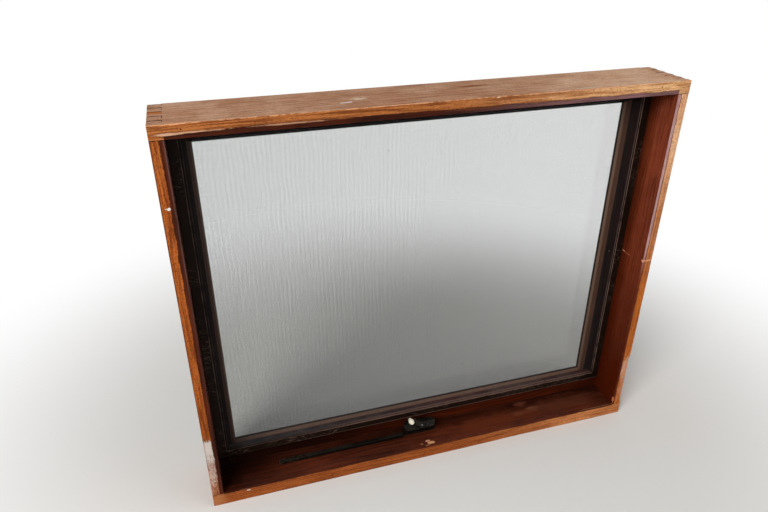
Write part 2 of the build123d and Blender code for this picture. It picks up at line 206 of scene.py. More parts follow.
def makeGrainGroup():
    # timber figure: long growth bands, fine fibres and open pores, with the grain along X of the vector
    tree, source, result = newGroup(
        "timberGrain", {"Vector": None, "Band Size": 14.0, "Warp": 0.35, "Ripple": 0.0},
        ["Bands", "Fibres", "Pores", "Flecks"])
    vector = source["Vector"]
    wander = noiseValue(tree, vectorNode(tree, "MULTIPLY", vector, (1.1, 9.0, 9.0)), 1.6, 3.0)
    ripple = noiseValue(tree, vectorNode(tree, "MULTIPLY", vector, (3.0, 60.0, 60.0)), 1.0, 2.0)
    offset = plus(tree, times(tree, wander, source["Warp"]),
                  times(tree, ripple, source["Ripple"]))
    parts = separated(tree, vector)
    across = plus(tree, times(tree, parts[1], 0.8), parts[2])
    phase = times(tree, plus(tree, across, offset), source["Band Size"])
    link(tree, times(tree, mathNode(tree, "PINGPONG", phase, 0.5), 2.0, clamp=True), result["Bands"])
    for layer, size, detail, span in (("Fibres", (14.0, 420.0, 420.0), 4.0, None),
                                      ("Pores", (60.0, 1100.0, 1100.0), 1.0, (0.60, 0.70)),
                                      ("Flecks", (230.0, 620.0, 620.0), 2.0, (0.53, 0.63))):
        value = noiseValue(tree, vectorNode(tree, "MULTIPLY", vector, size), 1.0, detail, 0.65)
        link(tree, smoothMask(tree, value, *span) if span else value, result[layer])
    return tree


def makeWearGroup():
    # where an arris is rubbed: the rounded normal differs from the true one, broken up by noise
    tree, source, result = newGroup(
        "edgeWear", {"Vector": None, "Radius": 0.0015, "Break Up": 60.0, "Amount": 1.0}, ["Mask"])
    rounded = addNode(tree, "ShaderNodeBevel", samples=6, in_Radius=source["Radius"]).outputs[0]
    turn = vectorNode(tree, "DOT_PRODUCT", rounded, surfaceNormal(tree))
    edge = smoothMask(tree, minus(tree, 1.0, turn), 0.01, 0.18)
    patches = noiseValue(tree, source["Vector"], source["Break Up"], 5.0, 0.7)
    broken = smoothMask(tree, patches, 0.42, 0.62)
    link(tree, times(tree, edge, broken, source["Amount"], clamp=True), result["Mask"])
    return tree


def makeDustGroup():
    # dust that settles on what faces up, in soft uneven patches
    tree, source, result = newGroup(
        "settledDust", {"Vector": None, "Patch Scale": 9.0, "Amount": 0.5}, ["Mask", "Patches"])
    upward = smoothMask(tree, separated(tree, surfaceNormal(tree))[2], 0.2, 0.9)
    cloud = noiseValue(tree, source["Vector"], source["Patch Scale"], 6.0, 0.62)
    patches = smoothMask(tree, cloud, 0.35, 0.7)
    link(tree, times(tree, upward, patches, source["Amount"]), result["Mask"])
    link(tree, patches, result["Patches"])
    return tree


def makeScuffGroup():
    # fine scratches in two directions
    tree, source, result = newGroup("fineScuffs", {"Vector": None, "Density": 1.0}, ["Mask"])
    vector = source["Vector"]
    total = 0.0
    for turn, across in ((0.6, 900.0), (-0.35, 700.0)):
        aim = addNode(tree, "ShaderNodeVectorRotate", rotation_type="AXIS_ANGLE", in_Vector=vector,
                      in_Axis=(0.3, 1.0, 0.2), in_Angle=turn).outputs[0]
        lines = noiseValue(tree, vectorNode(tree, "MULTIPLY", aim, (9.0, across, across)), 1.0, 0.0)
        total = larger(tree, total, smoothMask(tree, lines, 0.70, 0.76))
    gate = smoothMask(tree, noiseValue(tree, vector, 7.0, 2.0), 0.45, 0.6)
    link(tree, times(tree, total, gate, source["Density"], clamp=True), result["Mask"])
    return tree


def makeSpotGroup():
    # one ragged spot: paint, filler, a chip or a nail hole
    tree, source, result = newGroup(
        "raggedSpot", {"Vector": None, "Centre": None, "Half Size": None, "Ragged": 0.6, "Grain": 220.0,
                       "Grain Vector": None, "Soft": 0.08}, ["Mask"])
    away = vectorNode(tree, "SUBTRACT", source["Vector"], source["Centre"])
    reach = vectorNode(tree, "LENGTH", vectorNode(tree, "DIVIDE", away, source["Half Size"]))
    rough = noiseValue(tree, source["Grain Vector"], source["Grain"], 5.0, 0.7)
    push = times(tree, minus(tree, rough, 0.5), times(tree, source["Ragged"], 3.0))
    outerEdge = plus(tree, 1.0, source["Soft"])
    innerEdge = minus(tree, 1.0, source["Soft"])
    link(tree, smoothMask(tree, plus(tree, reach, push), outerEdge, innerEdge), result["Mask"])
    return tree


def makeSeamGroup():
    # the dark line where boards meet at a comb joint
    tree, source, result = newGroup(
        "jointSeams", {"Vector": None, "Top Level": 0.97, "Foot Level": 0.037, "Board Half": 0.572,
                       "Front": -0.077, "Pitch": 0.0154, "Line": 0.0008}, ["Mask"])
    vector, pitch, line = source["Vector"], source["Pitch"], source["Line"]
    parts = separated(tree, vector)
    beside = minus(tree, absolute(tree, parts[0]), source["Board Half"])
    past = larger(tree, minus(tree, parts[2], source["Top Level"]),
                  minus(tree, source["Foot Level"], parts[2]))
    isPast = mathNode(tree, "GREATER_THAN", past, 0.0)
    atLevel = mathNode(tree, "LESS_THAN", absolute(tree, past), line)
    depth = minus(tree, parts[1], source["Front"])
    # halfway between fingers the distance is half a pitch; at a boundary it is nothing
    toFinger = mathNode(tree, "PINGPONG", depth, mathNode(tree, "DIVIDE", pitch, 2.0))
    between = times(tree, mathNode(tree, "LESS_THAN", toFinger, line), isPast,
                    mathNode(tree, "GREATER_THAN", depth, 0.005))
    seams = times(tree, larger(tree, atLevel, between),
                  mathNode(tree, "GREATER_THAN", beside, 0.0))
    root = mathNode(tree, "LESS_THAN", absolute(tree, beside), line)
    turn = mathNode(tree, "MODULO", mathNode(tree, "DIVIDE", depth, pitch), 2.0)
    atRoot = times(tree, root, mathNode(tree, "GREATER_THAN", turn, 1.0), isPast)
    shows = smoothMask(tree, noiseValue(tree, vector, 70.0, 3.0), 0.3, 0.5)
    link(tree, times(tree, larger(tree, seams, atRoot), shows), result["Mask"])
    return tree


def makeStainGroup():
    # where the finish stops: a wavy, ragged line at a set distance from the opening
    tree, source, result = newGroup(
        "stainEdge", {"Vector": None, "Outward": 0.0, "Width": 0.011, "Wave": 0.006, "Ragged": 0.002,
                      "Blur": 0.0003}, ["Bare", "Edge"])
    total = source["Outward"]
    for scale, detail, amount in ((13.0, 2.0, "Wave"), (150.0, 5.0, "Ragged")):
        wander = noiseValue(tree, source["Vector"], scale, detail, 0.65)
        shift = times(tree, minus(tree, wander, 0.5), source[amount])
        total = plus(tree, total, shift)
    beyond = minus(tree, total, source["Width"])
    faded = mathNode(tree, "DIVIDE", beyond, source["Blur"])
    link(tree, smoothMask(tree, faded, -1.0, 1.0), result["Bare"])
    link(tree, smoothMask(tree, absolute(tree, beyond), 0.0016, 0.0003), result["Edge"])
    return tree


grainGroup = makeGrainGroup()
wearGroup = makeWearGroup()
dustGroup = makeDustGroup()
scuffGroup = makeScuffGroup()
spotGroup = makeSpotGroup()
seamGroup = makeSeamGroup()
stainGroup = makeStainGroup()
print("shader groups ready")


def principled(tree, **values):
    shader = addNode(tree, "ShaderNodeBsdfPrincipled")
    addNode(tree, "ShaderNodeOutputMaterial", in_Surface=shader.outputs[0])
    feedNamed(tree, shader, values)
    return shader


def bumpNode(tree, height, strength, distance):
    node = addNode(tree, "ShaderNodeBump", in_Strength=strength, in_Distance=distance, in_Height=height)
    return node.outputs[0]


def grainVector(tree, along):
    # object coordinates turned so that the grain runs along X
    coords = objectCoords(tree)
    if along == "x":
        return coords
    return addNode(tree, "ShaderNodeVectorRotate", rotation_type="Y_AXIS", in_Vector=coords,
                   in_Angle=math.pi / 2).outputs[0]


# the sheen colour, amount, span and reach of each board paint a reflection on the lacquer near the opening
boardLooks = {
    "head": {
        "grain": "x", "rawDark": srgb(108, 54, 24), "rawLight": srgb(184, 112, 58),
        "rawPale": srgb(255, 206, 150), "rawPaleDark": srgb(196, 128, 76),
        "paleFrom": (-0.05, 0.5, 1.0), "stainDark": srgb(24, 8, 3), "stainLight": srgb(74, 28, 11),
        "paintedSheen": srgb(150, 110, 110), "paintedSheenAmount": (0.0, 0.8), "paintedSheenSpan": (-0.05, 0.45),
        "paintedSheenReach": 0.03, "blur": 0.0012, "stainWidth": (0.0125, 0.0095), "stainSpan": (-0.3, 0.35),
        "wave": 0.008, "ragged": 0.005, "tide": 0.35, "edgeLine": 0.0, "flecks": 0.5, "footShade": 0.0,
        "foot": srgb(28, 9, 5),
    },
    "sill": {
        "grain": "x", "rawDark": srgb(112, 50, 16), "rawLight": srgb(180, 98, 44),
        "rawPale": srgb(236, 158, 98), "rawPaleDark": srgb(176, 100, 52), "paleFrom": (0.05, 0.5, 0.9),
        "stainDark": srgb(36, 12, 5), "stainLight": srgb(98, 44, 26), "paintedSheen": srgb(90, 50, 40),
        "paintedSheenAmount": (0.0, 0.2), "paintedSheenSpan": (-0.2, 0.5), "paintedSheenReach": 0.03, "blur": 0.0004,
        "stainWidth": (0.0018, 0.0018), "stainSpan": (-0.6, 0.6), "wave": 0.002, "ragged": 0.003,
        "tide": 0.9, "edgeLine": 0.5, "flecks": 0.7, "footShade": 0.85, "foot": srgb(12, 4, 2),
    },
    "left_jamb": {
        "grain": "z", "rawDark": srgb(112, 48, 14), "rawLight": srgb(182, 98, 40),
        "rawPale": srgb(194, 116, 56), "rawPaleDark": srgb(130, 60, 20), "paleFrom": (0.8, 1.0, 0.6),
        "stainDark": srgb(30, 9, 3), "stainLight": srgb(92, 36, 13), "paintedSheen": srgb(104, 78, 76),
        "paintedSheenAmount": (0.1, 0.8), "paintedSheenSpan": (0.3, 0.95), "paintedSheenReach": 0.0026, "blur": 0.001,
        "stainWidth": (0.0085, 0.0092), "stainSpan": (0.1, 0.9), "wave": 0.005, "ragged": 0.006,
        "tide": 0.7, "edgeLine": 0.75, "flecks": 0.8, "footShade": 0.0, "foot": srgb(28, 9, 5),
    },
    "right_jamb": {
        "grain": "z", "rawDark": srgb(140, 66, 20), "rawLight": srgb(206, 116, 46),
        "rawPale": srgb(255, 216, 174), "rawPaleDark": srgb(236, 168, 120),
        "paleFrom": (0.4, 0.95, 1.0), "stainDark": srgb(84, 28, 9), "stainLight": srgb(146, 66, 36),
        "paintedSheen": srgb(206, 168, 168), "paintedSheenAmount": (0.0, 0.92), "paintedSheenSpan": (0.46, 0.6),
        "paintedSheenReach": 0.03, "blur": 0.0006, "stainWidth": (0.0058, 0.0082), "stainSpan": (0.44, 0.6),
        "wave": 0.003, "ragged": 0.004, "tide": 0.9, "edgeLine": 0.0, "flecks": 0.55, "footShade": 0.9,
        "foot": srgb(70, 20, 4),
    },
}

timberLook = {
    "agedDark": srgb(138, 94, 66),
    "agedLight": srgb(210, 170, 140),
    "agedPale": srgb(220, 184, 158),
    "endDark": srgb(110, 56, 26),
    "endLight": srgb(170, 104, 60),
    "endAmount": 0.14,
    "fresh": srgb(230, 176, 138),
    "pore": srgb(58, 28, 13),
    "fleck": srgb(84, 34, 12),
    # dark joints, and the painted contact shadow along some outer arrises
    "seamAndShadow": srgb(34, 16, 9),
    # painted shade, towards the screen and to the left of the level stop
    "grimeAndShade": srgb(20, 8, 5),
    "glassEdgeStrip": srgb(158, 126, 104),
    "lacquerRoughness": 0.27,
    "rawRoughness": 0.72,
    "gloss": 0.07,
}

white, filler, splinter = srgb(222, 214, 206), srgb(200, 188, 178), srgb(208, 148, 104)
chipBrown, holeDark = srgb(60, 26, 14), srgb(30, 14, 8)

# marks of use: board, centre and half size in millimetres, colour, raggedness, fineness of the
# raggedness, and how soft the rim is where it isn't crisp
boardMarks = [
    ("head", (-212, -30, 1000), (12, 2.6, 6), white, 0.7, 300.0),
    ("head", (-202, -28, 1000), (6, 3.4, 6), white, 0.5, 260.0),
    ("head", (-178, -8, 1000), (16, 9, 6), srgb(200, 172, 150), 1.5, 260.0),
    ("head", (94, 24, 1000), (34, 7, 6), srgb(124, 74, 42), 0.9, 160.0, 0.5),
    ("head", (328, -68, 1000), (24, 3.4, 6), srgb(196, 172, 152), 1.0, 200.0, 0.4),
    ("head", (110, -76, 998), (4, 2.0, 1.4), srgb(204, 172, 138), 0.7, 260.0, 0.4),
    ("head", (584, -24, 1000), (8, 12, 4), srgb(150, 80, 50), 1.0, 160.0, 0.3),
    ("head", (584, 34, 1000), (9, 10, 4), srgb(158, 88, 56), 1.0, 160.0, 0.3),
    ("head", (-540, -77, 988), (1.6, 3, 1.6), holeDark, 0.1, 300.0),
    ("head", (-562, -77, 980.4), (22, 3, 2.4), srgb(200, 156, 128), 0.5, 120.0, 0.45),
    ("head", (-515, -77, 981.4), (46, 3, 1.6), srgb(190, 142, 108), 0.9, 120.0, 0.5),
    ("head", (-330, -77, 981.4), (60, 3, 1.5), srgb(172, 128, 98), 1.0, 120.0, 0.6),
    ("head", (60, -77, 978.5), (60, 3, 1.6), srgb(92, 48, 24), 1.4, 120.0, 0.5),
    ("head", (522, -77, 990), (1.6, 3, 1.6), holeDark, 0.1, 300.0),
    ("head", (-330, -77, 991), (1.1, 3, 1.1), holeDark, 0.1, 300.0),
    ("sill", (-510, -77, 30), (5, 3, 1.6), white, 0.6, 300.0),
    ("sill", (-592, -77, 14), (16, 3, 28), srgb(172, 108, 66), 1.2, 60.0, 0.9),
    ("sill", (515, -73.5, 37), (60, 1.3, 3), srgb(132, 86, 58), 0.6, 200.0, 0.4),
    ("sill", (-10, -56, 37), (8, 2.8, 4), srgb(206, 144, 114), 0.8, 260.0),
    ("sill", (-4, -64.5, 37), (11, 4.4, 4), splinter, 0.9, 240.0),
    ("sill", (-30, -63, 37), (4, 3, 4), srgb(128, 78, 52), 1.0, 330.0),
    ("sill", (-15, -72, 37), (7, 1.8, 4), srgb(160, 100, 72), 1.0, 330.0),
    ("sill", (294, -31, 37), (24, 7, 4), srgb(108, 66, 46), 0.9, 90.0, 0.25),
    ("sill", (336, -24, 37), (22, 8, 4), srgb(112, 70, 50), 0.9, 90.0, 0.25),
    ("sill", (306, 6, 37), (16, 7, 4), srgb(88, 46, 32), 1.2, 120.0, 0.5),
    ("sill", (430, -30, 37), (90, 20, 4), srgb(84, 42, 26), 1.6, 60.0, 0.9),
    ("sill", (180, -40, 37), (110, 18, 4), srgb(92, 40, 20), 1.6, 50.0, 0.9),
    ("left_jamb", (-586, 8, 1000), (22, 8.6, 3), srgb(176, 104, 56), 0.1, 200.0),
    ("left_jamb", (-585, -77, 831), (3.4, 3, 3.2), white, 0.45, 300.0),
    ("left_jamb", (-590, -77, 832), (3.0, 3, 1.4), srgb(196, 176, 150), 0.8, 300.0),
    ("left_jamb", (-578, -77, 805), (3.6, 3, 24), chipBrown, 0.9, 200.0),
    ("left_jamb", (-580, -77, 700), (2.6, 3, 40), chipBrown, 0.95, 160.0),
    ("left_jamb", (-594, -87.2, 96), (12, 10, 62), srgb(192, 166, 150), 0.9, 300.0),
    ("right_jamb", (588, -77, 528), (10, 3, 3), srgb(216, 150, 112), 0.8, 260.0),
    ("right_jamb", (572, 3, 519.9), (2, 6, 1.2), srgb(214, 150, 116), 0.5, 200.0, 0.3),
    ("right_jamb", (572, -13, 518.2), (2, 14, 0.9), srgb(166, 96, 66), 0.5, 200.0, 0.5),
    ("right_jamb", (572, -77, 528), (3, 5, 3.6), srgb(216, 150, 120), 0.8, 260.0),
    ("right_jamb", (574, -77, 56), (3, 5, 8), srgb(178, 98, 60), 0.9, 200.0),
    ("right_jamb", (574, -77, 528), (4, 4, 4), srgb(216, 150, 120), 0.9, 260.0),
]

# marks that lie on the bare wood only, under the finish
bareMarks = [
    ("right_jamb", (594, -79, 170), (22, 9, 42), srgb(196, 138, 106), 0.8, 140.0),
    ("right_jamb", (598, -81, 120), (16, 9, 80), srgb(186, 122, 88), 1.0, 160.0),
    ("right_jamb", (596, -84.5, 168), (22, 9, 46), srgb(214, 164, 134), 1.2, 260.0),
    ("left_jamb", (-600, -77, 96), (60, 12, 66), srgb(150, 88, 58), 0.5, 110.0),
    ("left_jamb", (-600, -77, 122), (60, 12, 34), srgb(156, 112, 100), 0.5, 140.0),
    ("left_jamb", (-600, -77, 184), (90, 12, 36), filler, 0.35, 220.0),
    ("left_jamb", (-600, -88.9, 146), (60, 12, 38), srgb(164, 134, 122), 1.3, 300.0),
    ("left_jamb", (-600, -88.6, 112), (60, 12, 44), srgb(186, 164, 150), 1.2, 260.0, 0.25),
]


def paintMarks(tree, coords, board, marks, color):
    # the colour with the marks over it, and the mask of them all
    covered = 0.0
    size = (0.35, 1.0, 1.0) if boardLooks[board]["grain"] == "x" else (1.0, 1.0, 0.35)
    stretched = vectorNode(tree, "MULTIPLY", coords, size)
    for name, centre, halfSize, paint, ragged, fine, *soft in marks:
        if name != board:
            continue
        spot = placeGroup(tree, spotGroup, Vector=coords, Centre=tuple(c * mm for c in centre),
                          Half_Size=tuple(c * mm for c in halfSize), Ragged=ragged, Grain=fine,
                          Grain_Vector=stretched, Soft=soft[0] if soft else 0.08)["Mask"]
        color = mixColor(tree, spot, color, paint)
        covered = larger(tree, covered, spot)
    return color, covered


def outwardDistance(tree, board, position):
    # how far outward a point lies from the opening's edge, in metres; very far at the comb joints
    parts = separated(tree, position)
    aside = minus(tree, absolute(tree, parts[0]), jambInner * mm)
    overhead = minus(tree, parts[2], headUnder * mm)
    below = minus(tree, sillTop * mm, parts[2])
    if board == "head":
        outward, joint = overhead, aside
    elif board == "sill":
        outward, joint = below, aside
    else:
        outward, joint = aside, larger(tree, overhead, below)
    past = times(tree, larger(tree, joint, 0.0), 400.0)
    return plus(tree, outward, past)


def boardMaterial(board):
    look = boardLooks[board]
    along = {"x": 0, "z": 2}[look["grain"]]
    material, tree = newMaterial(f"{board}_timber")
    coords = objectCoords(tree)
    place = separated(tree, coords)
    normal = separated(tree, surfaceNormal(tree))
    rubbed = addNode(tree, "ShaderNodeAttribute", attribute_name="rubbed").outputs["Fac"]
    vector = grainVector(tree, look["grain"])
    grain = placeGroup(tree, grainGroup, Vector=vector, Band_Size=85.0, Warp=0.03, Ripple=0.05)
    dust = placeGroup(tree, dustGroup, Vector=coords, Patch_Scale=7.0, Amount=1.0)
    seams = placeGroup(tree, seamGroup, Vector=coords, Top_Level=headUnder * mm, Foot_Level=sillTop * mm,
                       Board_Half=jambInner * mm, Front=roomFace * mm)["Mask"]

    # bare wood, paler towards one end, weathered where it faces up, dark on end grain
    figure = mixValue(tree, 0.78, grain["Bands"], grain["Fibres"])
    contrast = smoothMask(tree, figure, 0.25, 0.72)
    start, end, most = look["paleFrom"]
    alongBoard = place[along]
    pale = times(tree, smoothMask(tree, alongBoard, start, end), most,
                 mixValue(tree, dust["Patches"], 0.5, 1.0))
    raw = mixColor(tree, contrast, mixColor(tree, pale, look["rawDark"], look["rawPaleDark"]),
                   mixColor(tree, pale, look["rawLight"], look["rawPale"]))
    aged = mixColor(tree, mixValue(tree, 0.45, contrast, dust["Patches"]), timberLook["agedDark"],
                    timberLook["agedLight"])
    faded = times(tree, smoothMask(tree, normal[2], 0.5, 0.85), mixValue(tree, dust["Patches"], 0.65, 0.95))
    aged = mixColor(tree, times(tree, pale, 0.75), aged, timberLook["agedPale"])
    bare = mixColor(tree, faded, raw, aged)
    endGrain = times(tree, timberLook["endAmount"],
                     smoothMask(tree, absolute(tree, normal[along]), 0.6, 0.8))
    bare = mixColor(tree, endGrain, bare,
                    mixColor(tree, figure, timberLook["endDark"], timberLook["endLight"]))
    bare = mixColor(tree, times(tree, grain["Flecks"], look["flecks"]), bare, timberLook["fleck"])
    bare, filled = paintMarks(tree, coords, board, bareMarks, bare)

    # stain and lacquer, with painted shade towards the screen and, on some boards, towards one end
    depth = mixValue(tree, 0.6, dust["Patches"], contrast)
    stained = mixColor(tree, depth, look["stainDark"], look["stainLight"])
    # painted shade: the stain darkens towards the screen
    grimeAndShade = smoothMask(tree, place[1], -0.035, 0.012)
    stained = mixColor(tree, times(tree, grimeAndShade, 0.65), stained, timberLook["grimeAndShade"])
    if look["footShade"]:
        start, end = (0.8, 0.1) if along == 2 else (-0.32, -0.57)
        back = mixValue(tree, smoothMask(tree, place[1], -0.048, -0.074), 1.0, 0.45 if along == 0 else 1.0)
        deep = times(tree, smoothMask(tree, alongBoard, start, end), look["footShade"], back)
        stained = mixColor(tree, deep, stained, look["foot"])
    low, high = look["stainWidth"]
    spanStart, spanEnd = look["stainSpan"]
    width = mixValue(tree, smoothMask(tree, alongBoard, spanStart, spanEnd), low, high)
    outward = outwardDistance(tree, board, coords)
    edge = placeGroup(tree, stainGroup, Vector=coords, Outward=outward, Width=width, Wave=look["wave"],
                      Ragged=look["ragged"], Blur=look["blur"])
    roomSide = smoothMask(tree, times(tree, normal[1], -1.0), 0.5, 0.7)
    # painted reflection: a sheen on the lacquer near the opening's arris, on the room side
    paintedSheen = mixValue(tree, smoothMask(tree, alongBoard, *look["paintedSheenSpan"]), *look["paintedSheenAmount"])
    streaks = smoothMask(tree, grain["Fibres"], 0.35, 0.65)
    nearArris = smoothMask(tree, outward, look["paintedSheenReach"] + 0.0012, look["paintedSheenReach"] - 0.0012)
    paintedSheen = times(tree, paintedSheen, roomSide, nearArris, mixValue(tree, 0.5, 1.0, streaks))
    stained = mixColor(tree, paintedSheen, stained, look["paintedSheen"])
    weatherSide = smoothMask(tree, normal[1], 0.5, 0.7)
    facesOpening = smoothMask(tree, absolute(tree, normal[2 - along]), 0.6, 0.8)
    inside = mathNode(tree, "LESS_THAN", outward, 0.004)
    liner = times(tree, facesOpening, inside)
    bareMask = times(tree, edge["Bare"],
                     minus(tree, 1.0, larger(tree, weatherSide, liner)))
    color = mixColor(tree, bareMask, stained, bare)
    tideLine = times(tree, edge["Edge"], roomSide, look["tide"])
    color = mixColor(tree, tideLine, color, look["stainDark"])

    # rubbed and broken arrises show fresh wood, broken up by the fibres
    fresh = smoothMask(tree, plus(tree, rubbed, times(tree, grain["Fibres"], 0.5)), 0.5, 0.85)
    color = mixColor(tree, times(tree, fresh, 0.85), color,
                     mixColor(tree, grain["Fibres"], look["rawLight"], timberLook["fresh"]))
    color = mixColor(tree, times(tree, grain["Pores"], 0.5), color, timberLook["pore"])
    color = mixColor(tree, times(tree, seams, 0.85), color, timberLook["seamAndShadow"])
    if look["edgeLine"]:
        # a dark line along the outer arris of the room side: painted contact shadow at the sill's foot, a
        # darker outline along the left jamb's outer edge
        reach = frameHalf * mm if along == 2 else 0.0
        aside = absolute(tree, place[2 - along])
        toEdge = absolute(tree, minus(tree, reach, aside))
        line = times(tree, smoothMask(tree, toEdge, 0.0026, 0.0008), look["edgeLine"])
        color = mixColor(tree, times(tree, line, roomSide), color, timberLook["seamAndShadow"])
    worn = larger(tree, bareMask, fresh)
    rough = mixValue(tree, worn, timberLook["lacquerRoughness"], timberLook["rawRoughness"])
    color, marks = paintMarks(tree, coords, board, boardMarks, color)
    marks = larger(tree, marks, times(tree, filled, bareMask))
    rough = mixValue(tree, marks, rough, 0.85)
    height = plus(tree, times(tree, grain["Fibres"], mixValue(tree, worn, 0.2, 1.0)),
                  times(tree, grain["Pores"], -0.8))
    height = minus(tree, height, times(tree, plus(tree, marks, seams), 0.7))
    principled(tree, Base_Color=color, Roughness=rough, Normal=bumpNode(tree, height, 0.4, 0.0006),
               Specular_IOR_Level=timberLook["gloss"])
    return material


def sashMaterial(name, along, dark, light, roughness, splayLightAndShade=srgb(122, 80, 58), gloss=0.08,
                 leftShade=0.0, glassEdge=None):
    # the sloped faces take a colour of their own, painted light on most rails and painted shade on the top
    # rail; leftShade is a painted shade to the left, glassEdge a pale strip along the glass
    material, tree = newMaterial(name)
    coords = objectCoords(tree)
    vector = grainVector(tree, along)
    grain = placeGroup(tree, grainGroup, Vector=vector, Band_Size=40.0, Warp=0.2)
    figure = mixValue(tree, 0.5, grain["Bands"], grain["Fibres"])
    stained = mixColor(tree, figure, dark, light)
    facing = separated(tree, surfaceNormal(tree))
    aside = absolute(tree, facing[2 if along == "x" else 0])
    splay = times(tree, smoothMask(tree, aside, 0.2, 0.35), smoothMask(tree, aside, 0.97, 0.9))
    # the sloped faces take a colour of their own: painted light on most rails, painted shade on the top rail
    stained = mixColor(tree, splay, stained, mixColor(tree, grain["Fibres"], light, splayLightAndShade))
    place = separated(tree, coords)
    if leftShade:
        # painted shade towards the left
        shade = times(tree, smoothMask(tree, place[0], 0.1, -0.35), leftShade)
        stained = mixColor(tree, shade, stained, timberLook["grimeAndShade"])
    if glassEdge:
        away = absolute(tree, place[2 if along == "x" else 0])
        away = absolute(tree, minus(tree, away, glassEdge * mm))
        strip = times(tree, smoothMask(tree, away, 0.0052, 0.0030), splay)
        strip = times(tree, strip, mixValue(tree, grain["Fibres"], 0.3, 1.0))
        stained = mixColor(tree, strip, stained, timberLook["glassEdgeStrip"])
    wear = placeGroup(tree, wearGroup, Vector=vector, Radius=0.0012, Break_Up=55.0, Amount=0.5)
    dust = placeGroup(tree, dustGroup, Vector=coords, Patch_Scale=14.0, Amount=0.35)
    color = mixColor(tree, wear["Mask"], stained, srgb(120, 78, 50))
    color = mixColor(tree, dust["Mask"], color, srgb(128, 112, 98))
    rough = mixValue(tree, dust["Mask"], roughness, 0.8)
    principled(tree, Base_Color=color, Roughness=rough, Specular_IOR_Level=gloss,
               Normal=bumpNode(tree, grain["Fibres"], 0.25, 0.0004))
    return material


# the lip colour and its factors paint a highlight on the lips; it is weaker on the sides and the bottom, and
# at the left it stands for shade. The ledge colour is painted light on upward faces
screenLook = {
    "paint": srgb(36, 21, 14),
    "lip": srgb(190, 156, 140),
    "sideHighlightLevel": 0.55,
    "lowHighlightLevel": 0.4,
    "ledgeLight": srgb(126, 92, 80),
    "leftShadeLevel": 0.4,
    "dust": srgb(104, 84, 70),
    "roughness": 0.36,
}


def screenMaterial():
    # powder coat, with a painted highlight on the two thin lips beside the spline groove, painted shade on
    # them to the left and painted light on upward faces
    low, high = extent("screen_left")
    face = high[0] - low[0]
    halfWide, halfTall = -low[0] - face, (high[2] - low[2]) / 2 - face
    middle = (high[2] + low[2]) / 2
    material, tree = newMaterial("screen_bronze")
    coords = objectCoords(tree)
    place = separated(tree, coords)
    across = minus(tree, absolute(tree, place[0]), halfWide * mm)
    upward = absolute(tree, minus(tree, place[2], middle * mm))
    outward = larger(tree, across, minus(tree, upward, halfTall * mm))
    facing = separated(tree, surfaceNormal(tree))
    front = smoothMask(tree, times(tree, facing[1], -1.0), 0.5, 0.8)
    # painted highlight on the two lips beside the spline groove
    lips = None
    for centre in (0.0008, 0.0058):
        away = absolute(tree, minus(tree, outward, centre))
        near = smoothMask(tree, away, 0.0010, 0.0006)
        lips = near if lips is None else larger(tree, lips, near)
    breaks = noiseValue(tree, coords, 30.0, 6.0, 0.7)
    lips = times(tree, lips, front,
                 smoothMask(tree, breaks, 0.3, 0.6))
    # the bottom rail's lips get less of the painted highlight than the side rails'
    lifted = smoothMask(tree, place[2], (low[2] + face) * mm, (low[2] + 3 * face) * mm)
    lips = times(tree, lips, mixValue(tree, lifted, screenLook["lowHighlightLevel"], screenLook["sideHighlightLevel"]))
    # painted shade on the lips towards the left
    litToRight = smoothMask(tree, place[0], -0.45, -0.05)
    lips = times(tree, lips, mixValue(tree, litToRight, screenLook["leftShadeLevel"], 1.0))
    scuffs = placeGroup(tree, scuffGroup, Vector=coords, Density=0.5)
    dust = placeGroup(tree, dustGroup, Vector=coords, Patch_Scale=22.0, Amount=0.25)
    # the painted highlight of the lips together with real scuffs
    rubbed = larger(tree, lips, times(tree, scuffs["Mask"], 0.4))
    color = mixColor(tree, rubbed, mixColor(tree, breaks, (0.004, 0.003, 0.002), screenLook["paint"]),
                     screenLook["lip"])
    color = mixColor(tree, dust["Mask"], color, screenLook["dust"])
    # painted light on upward faces, stronger to the right
    ledgeLight = times(tree, smoothMask(tree, facing[2], 0.6, 0.9), litToRight)
    color = mixColor(tree, ledgeLight, color, screenLook["ledgeLight"])
    rough = mixValue(tree, dust["Mask"], mixValue(tree, rubbed, screenLook["roughness"], 0.5), 0.85)
    principled(tree, Base_Color=color, Roughness=rough, Specular_IOR_Level=0.05,
               Normal=bumpNode(tree, breaks, 0.08, 0.0003))
    return material


def metalMaterial(name, paint, bareMetal, roughness, metallic, gloss, wearAmount, dustAmount):
    material, tree = newMaterial(name)
    coords = objectCoords(tree)
    wear = placeGroup(tree, wearGroup, Vector=coords, Radius=0.0008, Break_Up=160.0, Amount=wearAmount)
    scuffs = placeGroup(tree, scuffGroup, Vector=coords, Density=0.8)
    dust = placeGroup(tree, dustGroup, Vector=coords, Patch_Scale=22.0, Amount=dustAmount)
    mottle = noiseValue(tree, coords, 120.0, 4.0)
    shade = mixColor(tree, mottle, tuple(c * 0.8 for c in paint), tuple(c * 1.2 for c in paint))
    rubbed = larger(tree, wear["Mask"], times(tree, scuffs["Mask"], 0.5))
    color = mixColor(tree, rubbed, shade, bareMetal)
    color = mixColor(tree, dust["Mask"], color, srgb(120, 108, 96))
    rough = mixValue(tree, dust["Mask"],
                     mixValue(tree, mottle, roughness - 0.06, roughness + 0.08), 0.85)
    principled(tree, Base_Color=color, Roughness=rough, Metallic=metallic, Specular_IOR_Level=gloss,
               Normal=bumpNode(tree, mottle, 0.08, 0.0003))
    return material


